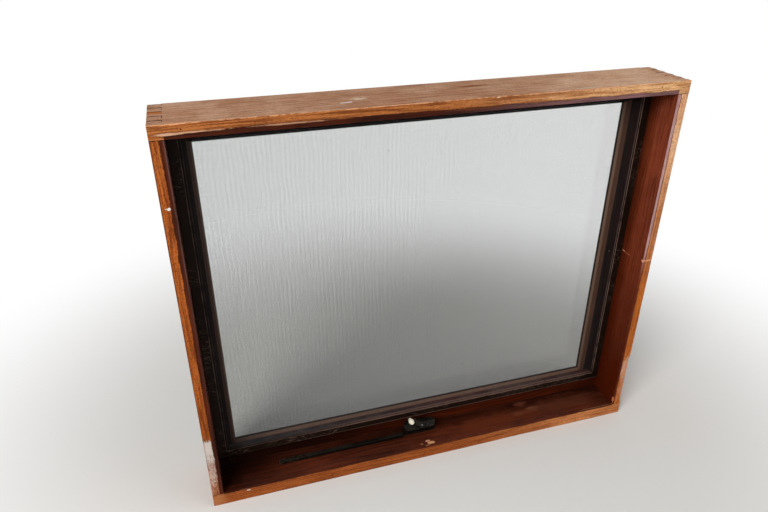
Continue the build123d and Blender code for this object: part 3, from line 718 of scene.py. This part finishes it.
def knobMaterial():
    material, tree = newMaterial("ivory_knob")
    coords = objectCoords(tree)
    cloud = noiseValue(tree, coords, 260.0, 5.0)
    grimeAndShade = smoothMask(tree, cloud, 0.5, 0.75)
    scuffs = placeGroup(tree, scuffGroup, Vector=coords, Density=0.8)
    color = mixColor(tree, grimeAndShade, srgb(240, 232, 212), srgb(206, 188, 150))
    color = mixColor(tree, times(tree, scuffs["Mask"], 0.6), color, srgb(120, 104, 82))
    principled(tree, Base_Color=color, Roughness=mixValue(tree, grimeAndShade, 0.32, 0.5))
    return material


def glassMaterial():
    material, tree = newMaterial("window_glass")
    principled(tree, Base_Color=(0.97, 0.99, 0.98), Roughness=0.0, IOR=1.5, Transmission_Weight=1.0)
    return material


def meshMaterial():
    material, tree = newMaterial("screen_wire")
    coords = objectCoords(tree)
    dirt = noiseValue(tree, coords, 16.0, 5.0)
    color = mixColor(tree, dirt, srgb(24, 24, 28), srgb(58, 57, 62))
    principled(tree, Base_Color=color, Roughness=mixValue(tree, dirt, 0.45, 0.7),
               Specular_IOR_Level=0.2)
    return material


def splineMaterial():
    material, tree = newMaterial("spline_rubber")
    coords = objectCoords(tree)
    bloom = noiseValue(tree, coords, 90.0, 4.0)
    color = mixColor(tree, bloom, srgb(14, 12, 11), srgb(42, 34, 29))
    principled(tree, Base_Color=color, Roughness=mixValue(tree, bloom, 0.6, 0.8),
               Specular_IOR_Level=0.1)
    return material


sashDark, sashLight = srgb(24, 15, 9), srgb(54, 40, 28)
materials = {
    "head": boardMaterial("head"),
    "sill": boardMaterial("sill"),
    "left_jamb": boardMaterial("left_jamb"),
    "right_jamb": boardMaterial("right_jamb"),
    "sashRail": sashMaterial("sash_rail_timber", "x", sashDark, sashLight, 0.38),
    # the top rail is a darker copy of the sash timber, painted shade under the head; the bottom rail a
    # lighter copy, painted light
    "sashHead": sashMaterial("sash_top_timber", "x", srgb(12, 8, 5), srgb(24, 15, 9), 0.5,
                             srgb(30, 20, 13), 0.02),
    "sashFoot": sashMaterial("sash_bottom_timber", "x", srgb(64, 40, 30), srgb(112, 72, 56), 0.38,
                             srgb(150, 100, 76), 0.02, glassEdge=extent("sash_bottom")[1][2]),
    "sashStile": sashMaterial("sash_stile_timber", "z", sashDark, sashLight, 0.38, glassEdge=sashLow[0]),
    "stopRail": sashMaterial("stop_timber_level", "x", srgb(42, 13, 5), srgb(90, 33, 12), 0.3,
                             leftShade=0.9),
    "stopStile": sashMaterial("stop_timber_upright", "z", srgb(30, 12, 7), srgb(60, 26, 16), 0.3),
    "screen": screenMaterial(),
    "winder": metalMaterial("winder_enamel", srgb(15, 12, 9), srgb(112, 98, 80), 0.34, metallic=0.0,
                            gloss=0.07, wearAmount=0.9, dustAmount=0.05),
    "steel": metalMaterial("dull_plate", srgb(150, 146, 136), srgb(190, 186, 178), 0.38, metallic=0.9,
                           gloss=0.5, wearAmount=0.5, dustAmount=0.25),
    "screw": metalMaterial("worn_screw", srgb(96, 94, 88), srgb(130, 126, 118), 0.42, metallic=0.9,
                           gloss=0.3, wearAmount=0.5, dustAmount=0.3),
    "knob": knobMaterial(),
    "glass": glassMaterial(),
    "wire": meshMaterial(),
    "spline": splineMaterial(),
}

nodeFinish = {
    "head": "head", "sill": "sill", "left_jamb": "left_jamb", "right_jamb": "right_jamb",
    "head_stop": "stopRail", "winder_rail": "stopRail", "left_stop": "stopStile", "right_stop": "stopStile",
    "sash_top": "sashHead", "sash_bottom": "sashFoot", "sash_left": "sashStile", "sash_right": "sashStile",
    "glazing_bead_top": "sashRail", "glazing_bead_bottom": "sashRail", "glazing_bead_left": "sashStile",
    "glazing_bead_right": "sashStile", "glass_pane": "glass", "screen_mesh": "wire", "crank_knob": "knob",
    "winder_base": "winder", "winder_housing": "winder", "chain_tube": "winder", "chain_tube_cap": "winder",
    "crank_arm": "winder", "knob_pin": "knob", "crank_screw": "screw",
}


def finishNodes():
    for name, node in nodes.items():
        if name.startswith("screen_spline"):
            key = "spline"
        elif name.startswith("screen_") and name != "screen_mesh":
            key = "screen"
        else:
            key = nodeFinish.get(name, "steel")
        node.data.materials.clear()
        node.data.materials.append(materials[key])


finishNodes()
print("materials on all the CAD nodes")


def addObject(name, data):
    item = bpy.data.objects.new(name, data)
    scene.collection.objects.link(item)
    return item


def meshPiece(name, vertices, faces, material, smooth=False):
    data = bpy.data.meshes.new(name)
    data.from_pydata([tuple(v) for v in vertices], [], [tuple(f) for f in faces])
    data.update()
    data.materials.append(material)
    if smooth:
        data.shade_smooth()
    piece = addObject(name, data)
    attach(piece, body)
    return piece


frameBoards = {
    "jointGap": 0.18,
    "fingerCount": 10,
    "step": 4.0,
    "arris": (0.0, 0.5, 1.2, 2.2, 3.6, 5.6, 8.5, 12.5),
    "softEdge": 1.1,
    "freshDepth": 1.0,
    "rubWidth": 2.8,
    "fingerUnevenness": 1.4,
    "depthStep": 9.0,
    "thinStep": 6.0,
    "dripBack": 12.0,
    "dripWidth": 6.0,
    "dripDepth": 5.0,
    "sillFall": 8.0,
    "sharpAngle": 32.0,
}

# how far each arris is rubbed down to pale wood
arrisRub = {
    ("head", "front_outer"): 0.7,
    ("head", "back_outer"): 0.6,
    ("right_jamb", "front_outer"): 0.7,
    ("right_jamb", "front_inner"): 0.3,
    ("left_jamb", "front_outer"): 0.3,
    ("sill", "front_outer"): 0.45,
}

# wood that has broken off an arris: board, which edge, where along it, half length, reach on both faces
brokenArrises = [
    ("right_jamb", "front_outer", 176.0, 34.0, 4.6, 12.5),
    ("right_jamb", "front_outer", 122.0, 80.0, 3.8, 8.5),
    ("right_jamb", "front_outer", 66.0, 26.0, 3.0, 6.5),
    ("left_jamb", "front_outer", 80.0, 60.0, 4.0, 3.4),
    ("left_jamb", "front_outer", 190.0, 30.0, 2.6, 2.2),
    ("right_jamb", "front_inner", 52.0, 14.0, 5.0, 5.0),
    ("head", "front_outer", -560.0, 40.0, 3.0, 3.5),
    ("head", "front_outer", 300.0, 160.0, 3.5, 3.0),
    ("head", "front_outer", -120.0, 90.0, 2.6, 2.4),
    ("sill", "front_inner", -520.0, 14.0, 2.5, 3.0),
    ("sill", "front_outer", 250.0, 60.0, 2.5, 2.0),
]


def refined(low, high, step):
    # lines across a face: close together at both arrises, even between them
    near = [low + a for a in frameBoards["arris"]]
    far = [high - a for a in frameBoards["arris"]]
    count = max(1, round((far[-1] - near[-1]) / step))
    between = [near[-1] + (far[-1] - near[-1]) * i / count for i in range(1, count)]
    return near + between + far[::-1]


def fingerEdges():
    pitch = (outerFace - roomFace) / frameBoards["fingerCount"]
    return [roomFace + pitch * i for i in range(frameBoards["fingerCount"] + 1)]


def depthLines():
    # lines through a board's depth, two of them at each gap between fingers
    half = frameBoards["jointGap"] / 2
    gaps = [l for edge in fingerEdges()[1:-1] for l in (edge - half, edge + half)]
    return withLines(refined(roomFace, outerFace, frameBoards["depthStep"]), gaps, 0.8)


def withLines(lines, wanted, apart):
    # the wanted lines take the place of those close to them
    return sorted([l for l in lines if min(abs(l - w) for w in wanted) > apart] + wanted)


def cellMiddles(lines):
    return np.meshgrid(*[np.add(l[:-1], l[1:]) / 2 for l in lines], indexing="ij")


def boardEdges(outer, inner):
    # the two faces that meet at each long arris, as axis, place and inward sign
    front, back = (1, roomFace, 1.0), (1, outerFace, -1.0)
    return {"front_outer": (front, outer), "front_inner": (front, inner), "back_outer": (back, outer),
            "back_inner": (back, inner)}


def blockSurface(lines, filled):
    # closed skin of the filled cells of a grid of lines
    counts = [len(l) - 1 for l in lines]
    padded = np.zeros([c + 2 for c in counts], bool)
    padded[1:-1, 1:-1, 1:-1] = filled
    quads = []
    for axis in range(3):
        here = np.moveaxis(padded, axis, 0)
        for sign in (1, -1):
            edge = here[:-1] & ~here[1:] if sign == 1 else ~here[:-1] & here[1:]
            spots = np.argwhere(edge[:, 1:-1, 1:-1])
            if not len(spots):
                continue
            level, first, second = spots[:, 0], spots[:, 1], spots[:, 2]
            corners = [(level, first, second), (level, first + 1, second), (level, first + 1, second + 1),
                       (level, first, second + 1)]
            if (sign == 1) == (axis == 1):
                corners = corners[::-1]
            others = [a for a in range(3) if a != axis]
            ring = []
            for corner in corners:
                index = [None] * 3
                index[axis] = corner[0]
                index[others[0]], index[others[1]] = corner[1], corner[2]
                ring.append(np.ravel_multi_index(index, [len(l) for l in lines]))
            quads.append(np.stack(ring, axis=1))
    quads = np.concatenate(quads)
    used, faces = np.unique(quads, return_inverse=True)
    faces = faces.reshape(quads.shape)
    index = np.unravel_index(used, [len(l) for l in lines])
    points = np.stack([np.array(lines[a])[index[a]] for a in range(3)], axis=1).astype(float)
    return points, faces


def noiseAlong(values, scale, seed):
    return np.array([noise.noise(Vector((v * scale, seed, 0.37))) for v in values])


def wearArris(points, first, second, reachFirst, reachSecond, sharpness):
    # first and second are (axis, face, inward sign); reaches are how far back the arris is worn on each face
    depthFirst = (points[:, first[0]] - first[1]) * first[2]
    depthSecond = (points[:, second[0]] - second[1]) * second[2]
    a = 1.0 - depthFirst / reachFirst
    b = 1.0 - depthSecond / reachSecond
    near = (a > 0) & (b > 0) & (depthFirst > -0.01) & (depthSecond > -0.01)
    a, b = a[near], b[near]
    shrink = np.maximum(a, b) / (a ** sharpness[near] + b ** sharpness[near]) ** (1.0 / sharpness[near])
    points[near, first[0]] = first[1] + first[2] * reachFirst[near] * (1.0 - a * shrink)
    points[near, second[0]] = second[1] + second[2] * reachSecond[near] * (1.0 - b * shrink)


def wearBoard(name, points, along, edges):
    # edges: name to the two faces that meet there
    seed = sum(ord(c) for c in name) * 0.13
    position = points[:, along].copy()
    rubbed = np.zeros(len(points))
    for number, (edgeName, (first, second)) in enumerate(edges.items()):
        wander = noiseAlong(position, 0.018, seed + number)
        wander = wander + 0.5 * noiseAlong(position, 0.09, seed + number + 7)
        base = frameBoards["softEdge"] * (1.0 + 0.45 * wander)
        reachFirst, reachSecond = np.maximum(base, 0.45), np.maximum(base, 0.45)
        sharpness = np.full(len(points), 2.0)
        splinters = noiseAlong(position, 0.11, seed + 21) + 0.6 * noiseAlong(position, 0.31, seed + 5)
        for board, edge, at, half, deepFirst, deepSecond in brokenArrises:
            if board != name or edge != edgeName:
                continue
            inside = np.clip(1.0 - np.abs(position - at) / half, 0.0, 1.0)
            bite = np.clip(inside * 3.2, 0.0, 1.0) * (0.85 + 0.28 * splinters)
            reachFirst = np.maximum(reachFirst, deepFirst * bite)
            reachSecond = np.maximum(reachSecond, deepSecond * bite)
            sharpness = np.where(inside > 0, 1.15, sharpness)
        before = points.copy()
        wearArris(points, first, second, reachFirst, reachSecond, sharpness)
        moved = np.linalg.norm(points - before, axis=1) / frameBoards["freshDepth"]
        rub = arrisRub.get((name, edgeName), 0.25)
        rubbed = np.maximum(rubbed, moved * (0.75 if edgeName.endswith("outer") else 0.25))
        away = np.hypot(before[:, first[0]] - first[1], before[:, second[0]] - second[1])
        band = frameBoards["rubWidth"] * (1.0 + 0.3 * wander)
        strip = np.clip(1.25 - away / band, 0.0, 1.0)
        rubbed = np.maximum(rubbed, rub * strip * np.clip(0.6 + 1.3 * splinters, 0.0, 1.0))
    return np.clip(rubbed, 0.0, 1.0)


def finishBoard(name, points, faces, material, rubbed):
    piece = meshPiece(f"{name}_board", points * mm, faces, material)
    data = piece.data
    data.attributes.new("rubbed", "FLOAT", "POINT").data.foreach_set("value", rubbed.astype(np.float32))
    data.shade_smooth()
    data.set_sharp_from_angle(angle=math.radians(frameBoards["sharpAngle"]))
    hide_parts(name)
    print(name, "board:", len(faces), "faces")
    return piece


def makeLevelBoard(name):
    # head or sill: full width, slots at both ends for the jambs' fingers
    low, high = extent(name)
    fingers, count, half = fingerEdges(), frameBoards["fingerCount"], frameBoards["jointGap"] / 2
    across = np.round(refined(-frameHalf, frameHalf, frameBoards["step"]), 3)
    xLines = sorted(set(across) | {-jambInner, jambInner})
    yLines = depthLines()
    zLines = refined(low[2], high[2], frameBoards["thinStep"])
    grooveHigh = outerFace - frameBoards["dripBack"]
    grooveLow = grooveHigh - frameBoards["dripWidth"]
    grooveTop = low[2] + frameBoards["dripDepth"]
    if name == "sill":
        yLines = withLines(yLines, [grooveLow, grooveHigh, sashFace], 0.8)
        zLines = withLines(zLines, [grooveTop], 0.5)
    xs, ys, zs = cellMiddles((xLines, yLines, zLines))
    filled = np.ones(xs.shape, bool)
    for index in range(1, count, 2):
        slot = (ys > fingers[index] - half) & (ys < fingers[index + 1] + half)
        filled &= ~(slot & (np.abs(xs) > jambInner))
    if name == "sill":
        groove = (ys > grooveLow) & (ys < grooveHigh) & (zs < grooveTop)
        filled &= ~(groove & (np.abs(xs) < jambInner))
    points, faces = blockSurface([xLines, yLines, zLines], filled)
    outerZ, innerZ, upward = (high[2], low[2], 1.0) if name == "head" else (low[2], high[2], -1.0)
    pitch = fingers[1] - fingers[0]
    fingerIndex = np.clip(((points[:, 1] - roomFace) / pitch).astype(int), 0, count - 1)
    for end in (-1, 1):
        atEnd = np.abs(points[:, 0] - end * frameHalf) < 0.01
        rng = random.Random(17 + end)
        shorter = np.array([rng.uniform(0.0, frameBoards["fingerUnevenness"]) for _ in range(count)])
        shorter[0] = 0.0
        points[atEnd, 0] -= end * shorter[fingerIndex[atEnd]]
    rubbed = wearBoard(name, points, 0, boardEdges((2, outerZ, -upward), (2, innerZ, upward)))
    if name == "sill":
        sloping = ((points[:, 1] > sashFace) & (points[:, 2] > high[2] - 3.0)
                   & (np.abs(points[:, 0]) < jambInner + 0.01))
        fall = frameBoards["sillFall"] / (outerFace + 3.0 - sashFace)
        points[sloping, 2] -= fall * (points[sloping, 1] - sashFace)
    finishBoard(name, points, faces, materials[name], rubbed)


def makeJamb(name, sign):
    # side board with fingers at both ends
    low, high = extent(name)
    fingers, count, gap = fingerEdges(), frameBoards["fingerCount"], frameBoards["jointGap"]
    zLines = withLines(refined(low[2], high[2], frameBoards["step"]), [sillTop, headUnder], 0.8)
    lines = [refined(low[0], high[0], frameBoards["thinStep"]), depthLines(), zLines]
    xs, ys, zs = cellMiddles(lines)
    filled = (zs > sillTop) & (zs < headUnder)
    for index in range(1, count, 2):
        top = fingers[index + 1] + (gap if index == count - 1 else -gap / 2)
        filled |= (ys > fingers[index] + gap / 2) & (ys < top)
    points, faces = blockSurface(lines, filled)
    outer, inner = (0, sign * frameHalf, -sign), (0, sign * jambInner, sign)
    rubbed = wearBoard(name, points, 2, boardEdges(outer, inner))
    finishBoard(name, points, faces, materials[name], rubbed)


makeLevelBoard("head")
makeLevelBoard("sill")
makeJamb("left_jamb", -1.0)
makeJamb("right_jamb", 1.0)


meshWeave = {
    "pitch": 1.4,
    "wire": 0.28,
    "levelBays": 12,
    "uprightBays": 60,
    "beat": 10.0,
    "sag": 0.5,
    "uneven": 0.2,
    "leftWire": 1.34,
    "rightWire": 0.85,
    "specks": [(-105.0, 873.0, 1.5), (-118.0, 930.0, 0.9), (188.0, 610.0, 0.8), (-402.0, 420.0, 0.7)],
}


def makeInsectMesh():
    # straight wires both ways, a little slack between the splines
    w = meshWeave
    low, high = screenLow, screenHigh
    middle = (low[1] + high[1]) / 2
    radius = w["wire"] / 2
    vertices, faces = [], []

    def slack(x, z):
        across = math.sin(math.pi * (x - low[0]) / (high[0] - low[0]))
        upright = math.sin(math.pi * (z - low[2]) / (high[2] - low[2]))
        ripple = noise.noise(Vector((x * 0.006, z * 0.006, 3.0)))
        return w["sag"] * max(across, 0.0) * max(upright, 0.0) * (0.6 + ripple)

    def thickness(x, z, along):
        # wires thicker and thinner in turn, less so to the right; all a little thinner to the right, so that
        # the thicker wires on the left darken that side as a painted shade
        share = (x - low[0]) / (high[0] - low[0])
        size = w["leftWire"] + (w["rightWire"] - w["leftWire"]) * share
        drift = noise.noise(Vector((x * 0.013, z * 0.017 + 0.4, 8.45)))
        patch = 0.8 + 0.7 * noise.noise(Vector((x * 0.03 + 0.3, z * 0.021, 2.55)))
        turn = 2 * math.pi * (x if along == 2 else z) / w["beat"] + 2.4 * drift
        reach = w["uneven"] * patch * min(1.0, max(0.0, 1.9 - 2.0 * share))
        return size * (1.0 + reach * math.sin(turn) * (1.0 if along == 2 else 0.4))

    for along, offset in ((0, -radius * 0.9), (2, radius * 0.9)):
        other = 2 - along
        count = int((high[other] - low[other]) / w["pitch"])
        start = (low[other] + high[other] - (count - 1) * w["pitch"]) / 2
        bays = w["levelBays"] if along == 0 else w["uprightBays"]
        for index in range(count):
            across = start + index * w["pitch"]
            first = len(vertices)
            for stop in range(bays + 1):
                at = low[along] + (high[along] - low[along]) * stop / bays
                x, z = (at, across) if along == 0 else (across, at)
                y = middle + offset + slack(x, z)
                wide = radius * thickness(x, z, along)
                for corner in range(3):
                    angle = 2 * math.pi * corner / 3 + 0.5
                    point = [x, y + wide * math.sin(angle), z]
                    point[other] += wide * math.cos(angle)
                    vertices.append([c * mm for c in point])
            for stop in range(bays):
                base = first + 3 * stop
                for corner in range(3):
                    nextCorner = (corner + 1) % 3
                    faces.append((base + corner, base + nextCorner,
                                  base + 3 + nextCorner, base + 3 + corner))
            last = first + 3 * bays
            faces.append((first, first + 2, first + 1))
            faces.append((last, last + 1, last + 2))
    piece = meshPiece("insect_mesh", vertices, faces, materials["wire"], smooth=True)
    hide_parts("screen_mesh")
    print("insect mesh:", len(faces), "faces")


makeInsectMesh()


def scatterSpecks():
    # bits of dirt caught in the mesh: x, height and half size in millimetres
    face = (screenLow[1] + screenHigh[1]) / 2 - meshWeave["wire"]
    for number, (x, z, half) in enumerate(meshWeave["specks"]):
        blob = bmesh.new()
        bmesh.ops.create_icosphere(blob, subdivisions=2, radius=half * mm)
        for vertex in blob.verts:
            push = 1.0 + 0.5 * noise.noise(vertex.co * 900.0 + Vector((number, 0, 0)))
            vertex.co = Vector((x * mm, face * mm, z * mm)) + Vector((push * vertex.co.x, 0.35 * vertex.co.y,
                                                                      push * vertex.co.z * 0.8))
        data = bpy.data.meshes.new(f"mesh_speck_{number}")
        blob.to_mesh(data)
        blob.free()
        data.materials.append(materials["spline"])
        speck = addObject(data.name, data)
        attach(speck, body)


scatterSpecks()


# places of the slotted heads: name, foot, radius, height, direction it faces, material and slot
slottedHeads = {
    "segments": 8,
    "slotWide": 0.22,
    "slotDeep": 0.45,
    "places": [
        ("sash_screw_right", (549.0, 35.0, 505.5), 2.1, 1.0, (0, -1, 0), "steel", "steel"),
        ("sash_screw_left", (-535.5, 35.0, 506.0), 2.6, 1.0, (0, -1, 0), "stopRail", "sash_timber"),
    ],
}


def slottedHead(name, foot, radius, height, facing, finish, slot):
    # a domed disc crossed by a straight slot
    h = slottedHeads
    edge = h["slotWide"]
    side = [edge - 0.02, edge + 0.02, 0.5, 0.75, 0.92, 1.0]
    us = [-u for u in reversed(side)] + [0.0] + side
    vs = np.linspace(-1.0, 1.0, 2 * h["segments"] + 1)
    turn = Vector(facing).to_track_quat("Z", "Y").to_matrix()
    vertices, faces = [], []
    for u in us:
        for v in vs:
            x, y = u, v * math.sqrt(max(1.0 - u * u, 0.0003))
            rise = height * (1.0 - 0.85 * (x * x + y * y))
            if abs(u) < edge:
                rise -= height * h["slotDeep"]
            point = turn @ Vector((x * radius, y * radius, max(rise, 0.02)))
            vertices.append([(f + c) * mm for f, c in zip(foot, point)])
    rows = len(vs)
    for i in range(len(us) - 1):
        for j in range(rows - 1):
            faces.append((i * rows + j, (i + 1) * rows + j, (i + 1) * rows + j + 1, i * rows + j + 1))
    rim = ([i * rows for i in range(len(us))] + [(len(us) - 1) * rows + j for j in range(1, rows)]
           + [i * rows + rows - 1 for i in range(len(us) - 2, -1, -1)] + list(range(rows - 2, 0, -1)))
    under = len(vertices)
    for index in rim:
        point = Vector(vertices[index])
        flat = point - Vector(facing) * (point - Vector([f * mm for f in foot])).dot(Vector(facing))
        vertices.append(list(flat))
    count = len(rim)
    for i in range(count):
        j = (i + 1) % count
        faces.append((rim[i], under + i, under + j, rim[j]))
    faces.append(tuple(range(under, under + count)))
    return meshPiece(name, vertices, faces, materials[finish])


for place in slottedHeads["places"]:
    slottedHead(*place)
print("screws and specks made")


# stage, lamps and camera

studio = {
    "floorColor": srgb(226, 224, 220),
    "floorReach": 9.0,
    "floorNear": 0.65,
    "floorFar": 1.75,
    "worldStrength": 0.32,
    "keyPower": 105.0,
    "keyPlace": (-2.3, -2.1, 2.6),
    "keySize": 1.5,
    "fillPower": 26.0,
    "fillPlace": (2.0, -1.4, 2.9),
    "fillSize": 2.4,
}


def whereSeen(tree):
    # 1 for what the camera, a reflection or a view through glass picks up
    path = addNode(tree, "ShaderNodeLightPath")
    other = larger(tree, path.outputs["Is Glossy Ray"], path.outputs["Is Transmission Ray"])
    return larger(tree, path.outputs["Is Camera Ray"], other)


def makeFloor():
    # pale underfoot, running out into the white background
    data = bpy.data.meshes.new("floor")
    reach = studio["floorReach"]
    corners = [(-reach, -reach, 0), (reach, -reach, 0), (reach, reach, 0), (-reach, reach, 0)]
    data.from_pydata(corners, [], [(0, 1, 2, 3)])
    floor = addObject("floor", data)
    material, tree = newMaterial("pale_floor")
    shader = principled(tree, Base_Color=studio["floorColor"], Roughness=0.75)
    position = addNode(tree, "ShaderNodeNewGeometry").outputs["Position"]
    far = smoothMask(tree, vectorNode(tree, "LENGTH", position), studio["floorNear"], studio["floorFar"])
    glow = addNode(tree, "ShaderNodeEmission", in_Strength=1.0)
    blend = addNode(tree, "ShaderNodeMixShader", in_0=times(tree, far, whereSeen(tree)),
                    in_1=shader.outputs[0], in_2=glow.outputs[0])
    output = [n for n in tree.nodes if n.type == "OUTPUT_MATERIAL"][0]
    link(tree, blend.outputs[0], output.inputs[0])
    data.materials.append(material)


def makeWorld():
    world = bpy.data.worlds.new("studio")
    scene.world = world
    world.use_nodes = True
    tree = world.node_tree
    tree.nodes.clear()
    strength = mixValue(tree, whereSeen(tree), studio["worldStrength"], 1.0)
    background = addNode(tree, "ShaderNodeBackground", in_Color=(1.0, 1.0, 1.0), in_Strength=strength)
    addNode(tree, "ShaderNodeOutputWorld", in_Surface=background.outputs[0])


def addLamp(name, power, size, place):
    data = bpy.data.lights.new(name, "AREA")
    data.energy = power
    data.size = size
    lamp = addObject(name, data)
    lamp.location = place
    middle = Vector((0.0, 0.0, frameTop * mm / 2))
    lamp.rotation_euler = (middle - Vector(place)).to_track_quat("-Z", "Y").to_euler()


# solved from the frame's outer corners in the photograph; place is from the room side, in metres
photoCamera = {
    "sensor": 36.0,
    "lens": 30.158,
    "azimuth": 16.99,
    "fall": 28.30,
    "roll": -0.08,
    "place": (-0.5188, -1.2268, 1.3480),
}


def makeCamera():
    view = photoCamera
    data = bpy.data.cameras.new("photo_camera")
    data.sensor_width = view["sensor"]
    data.lens = view["lens"]
    camera = addObject("photo_camera", data)
    scene.camera = camera
    azimuth, fall, roll = (math.radians(view[key]) for key in ("azimuth", "fall", "roll"))
    level = math.cos(fall)
    forward = Vector((math.sin(azimuth) * level, math.cos(azimuth) * level, -math.sin(fall)))
    x, y, z = view["place"]
    camera.location = (x, y + roomFace * mm, z)
    turn = forward.to_track_quat("-Z", "Y").to_matrix()
    camera.rotation_euler = (turn @ Matrix.Rotation(roll, 3, "Z")).to_euler()


makeFloor()
makeWorld()
for lampName in ("key", "fill"):
    addLamp(lampName, studio[lampName + "Power"], studio[lampName + "Size"], studio[lampName + "Place"])
makeCamera()
scene.view_settings.view_transform = "Standard"
print("stage, lamps and camera ready")
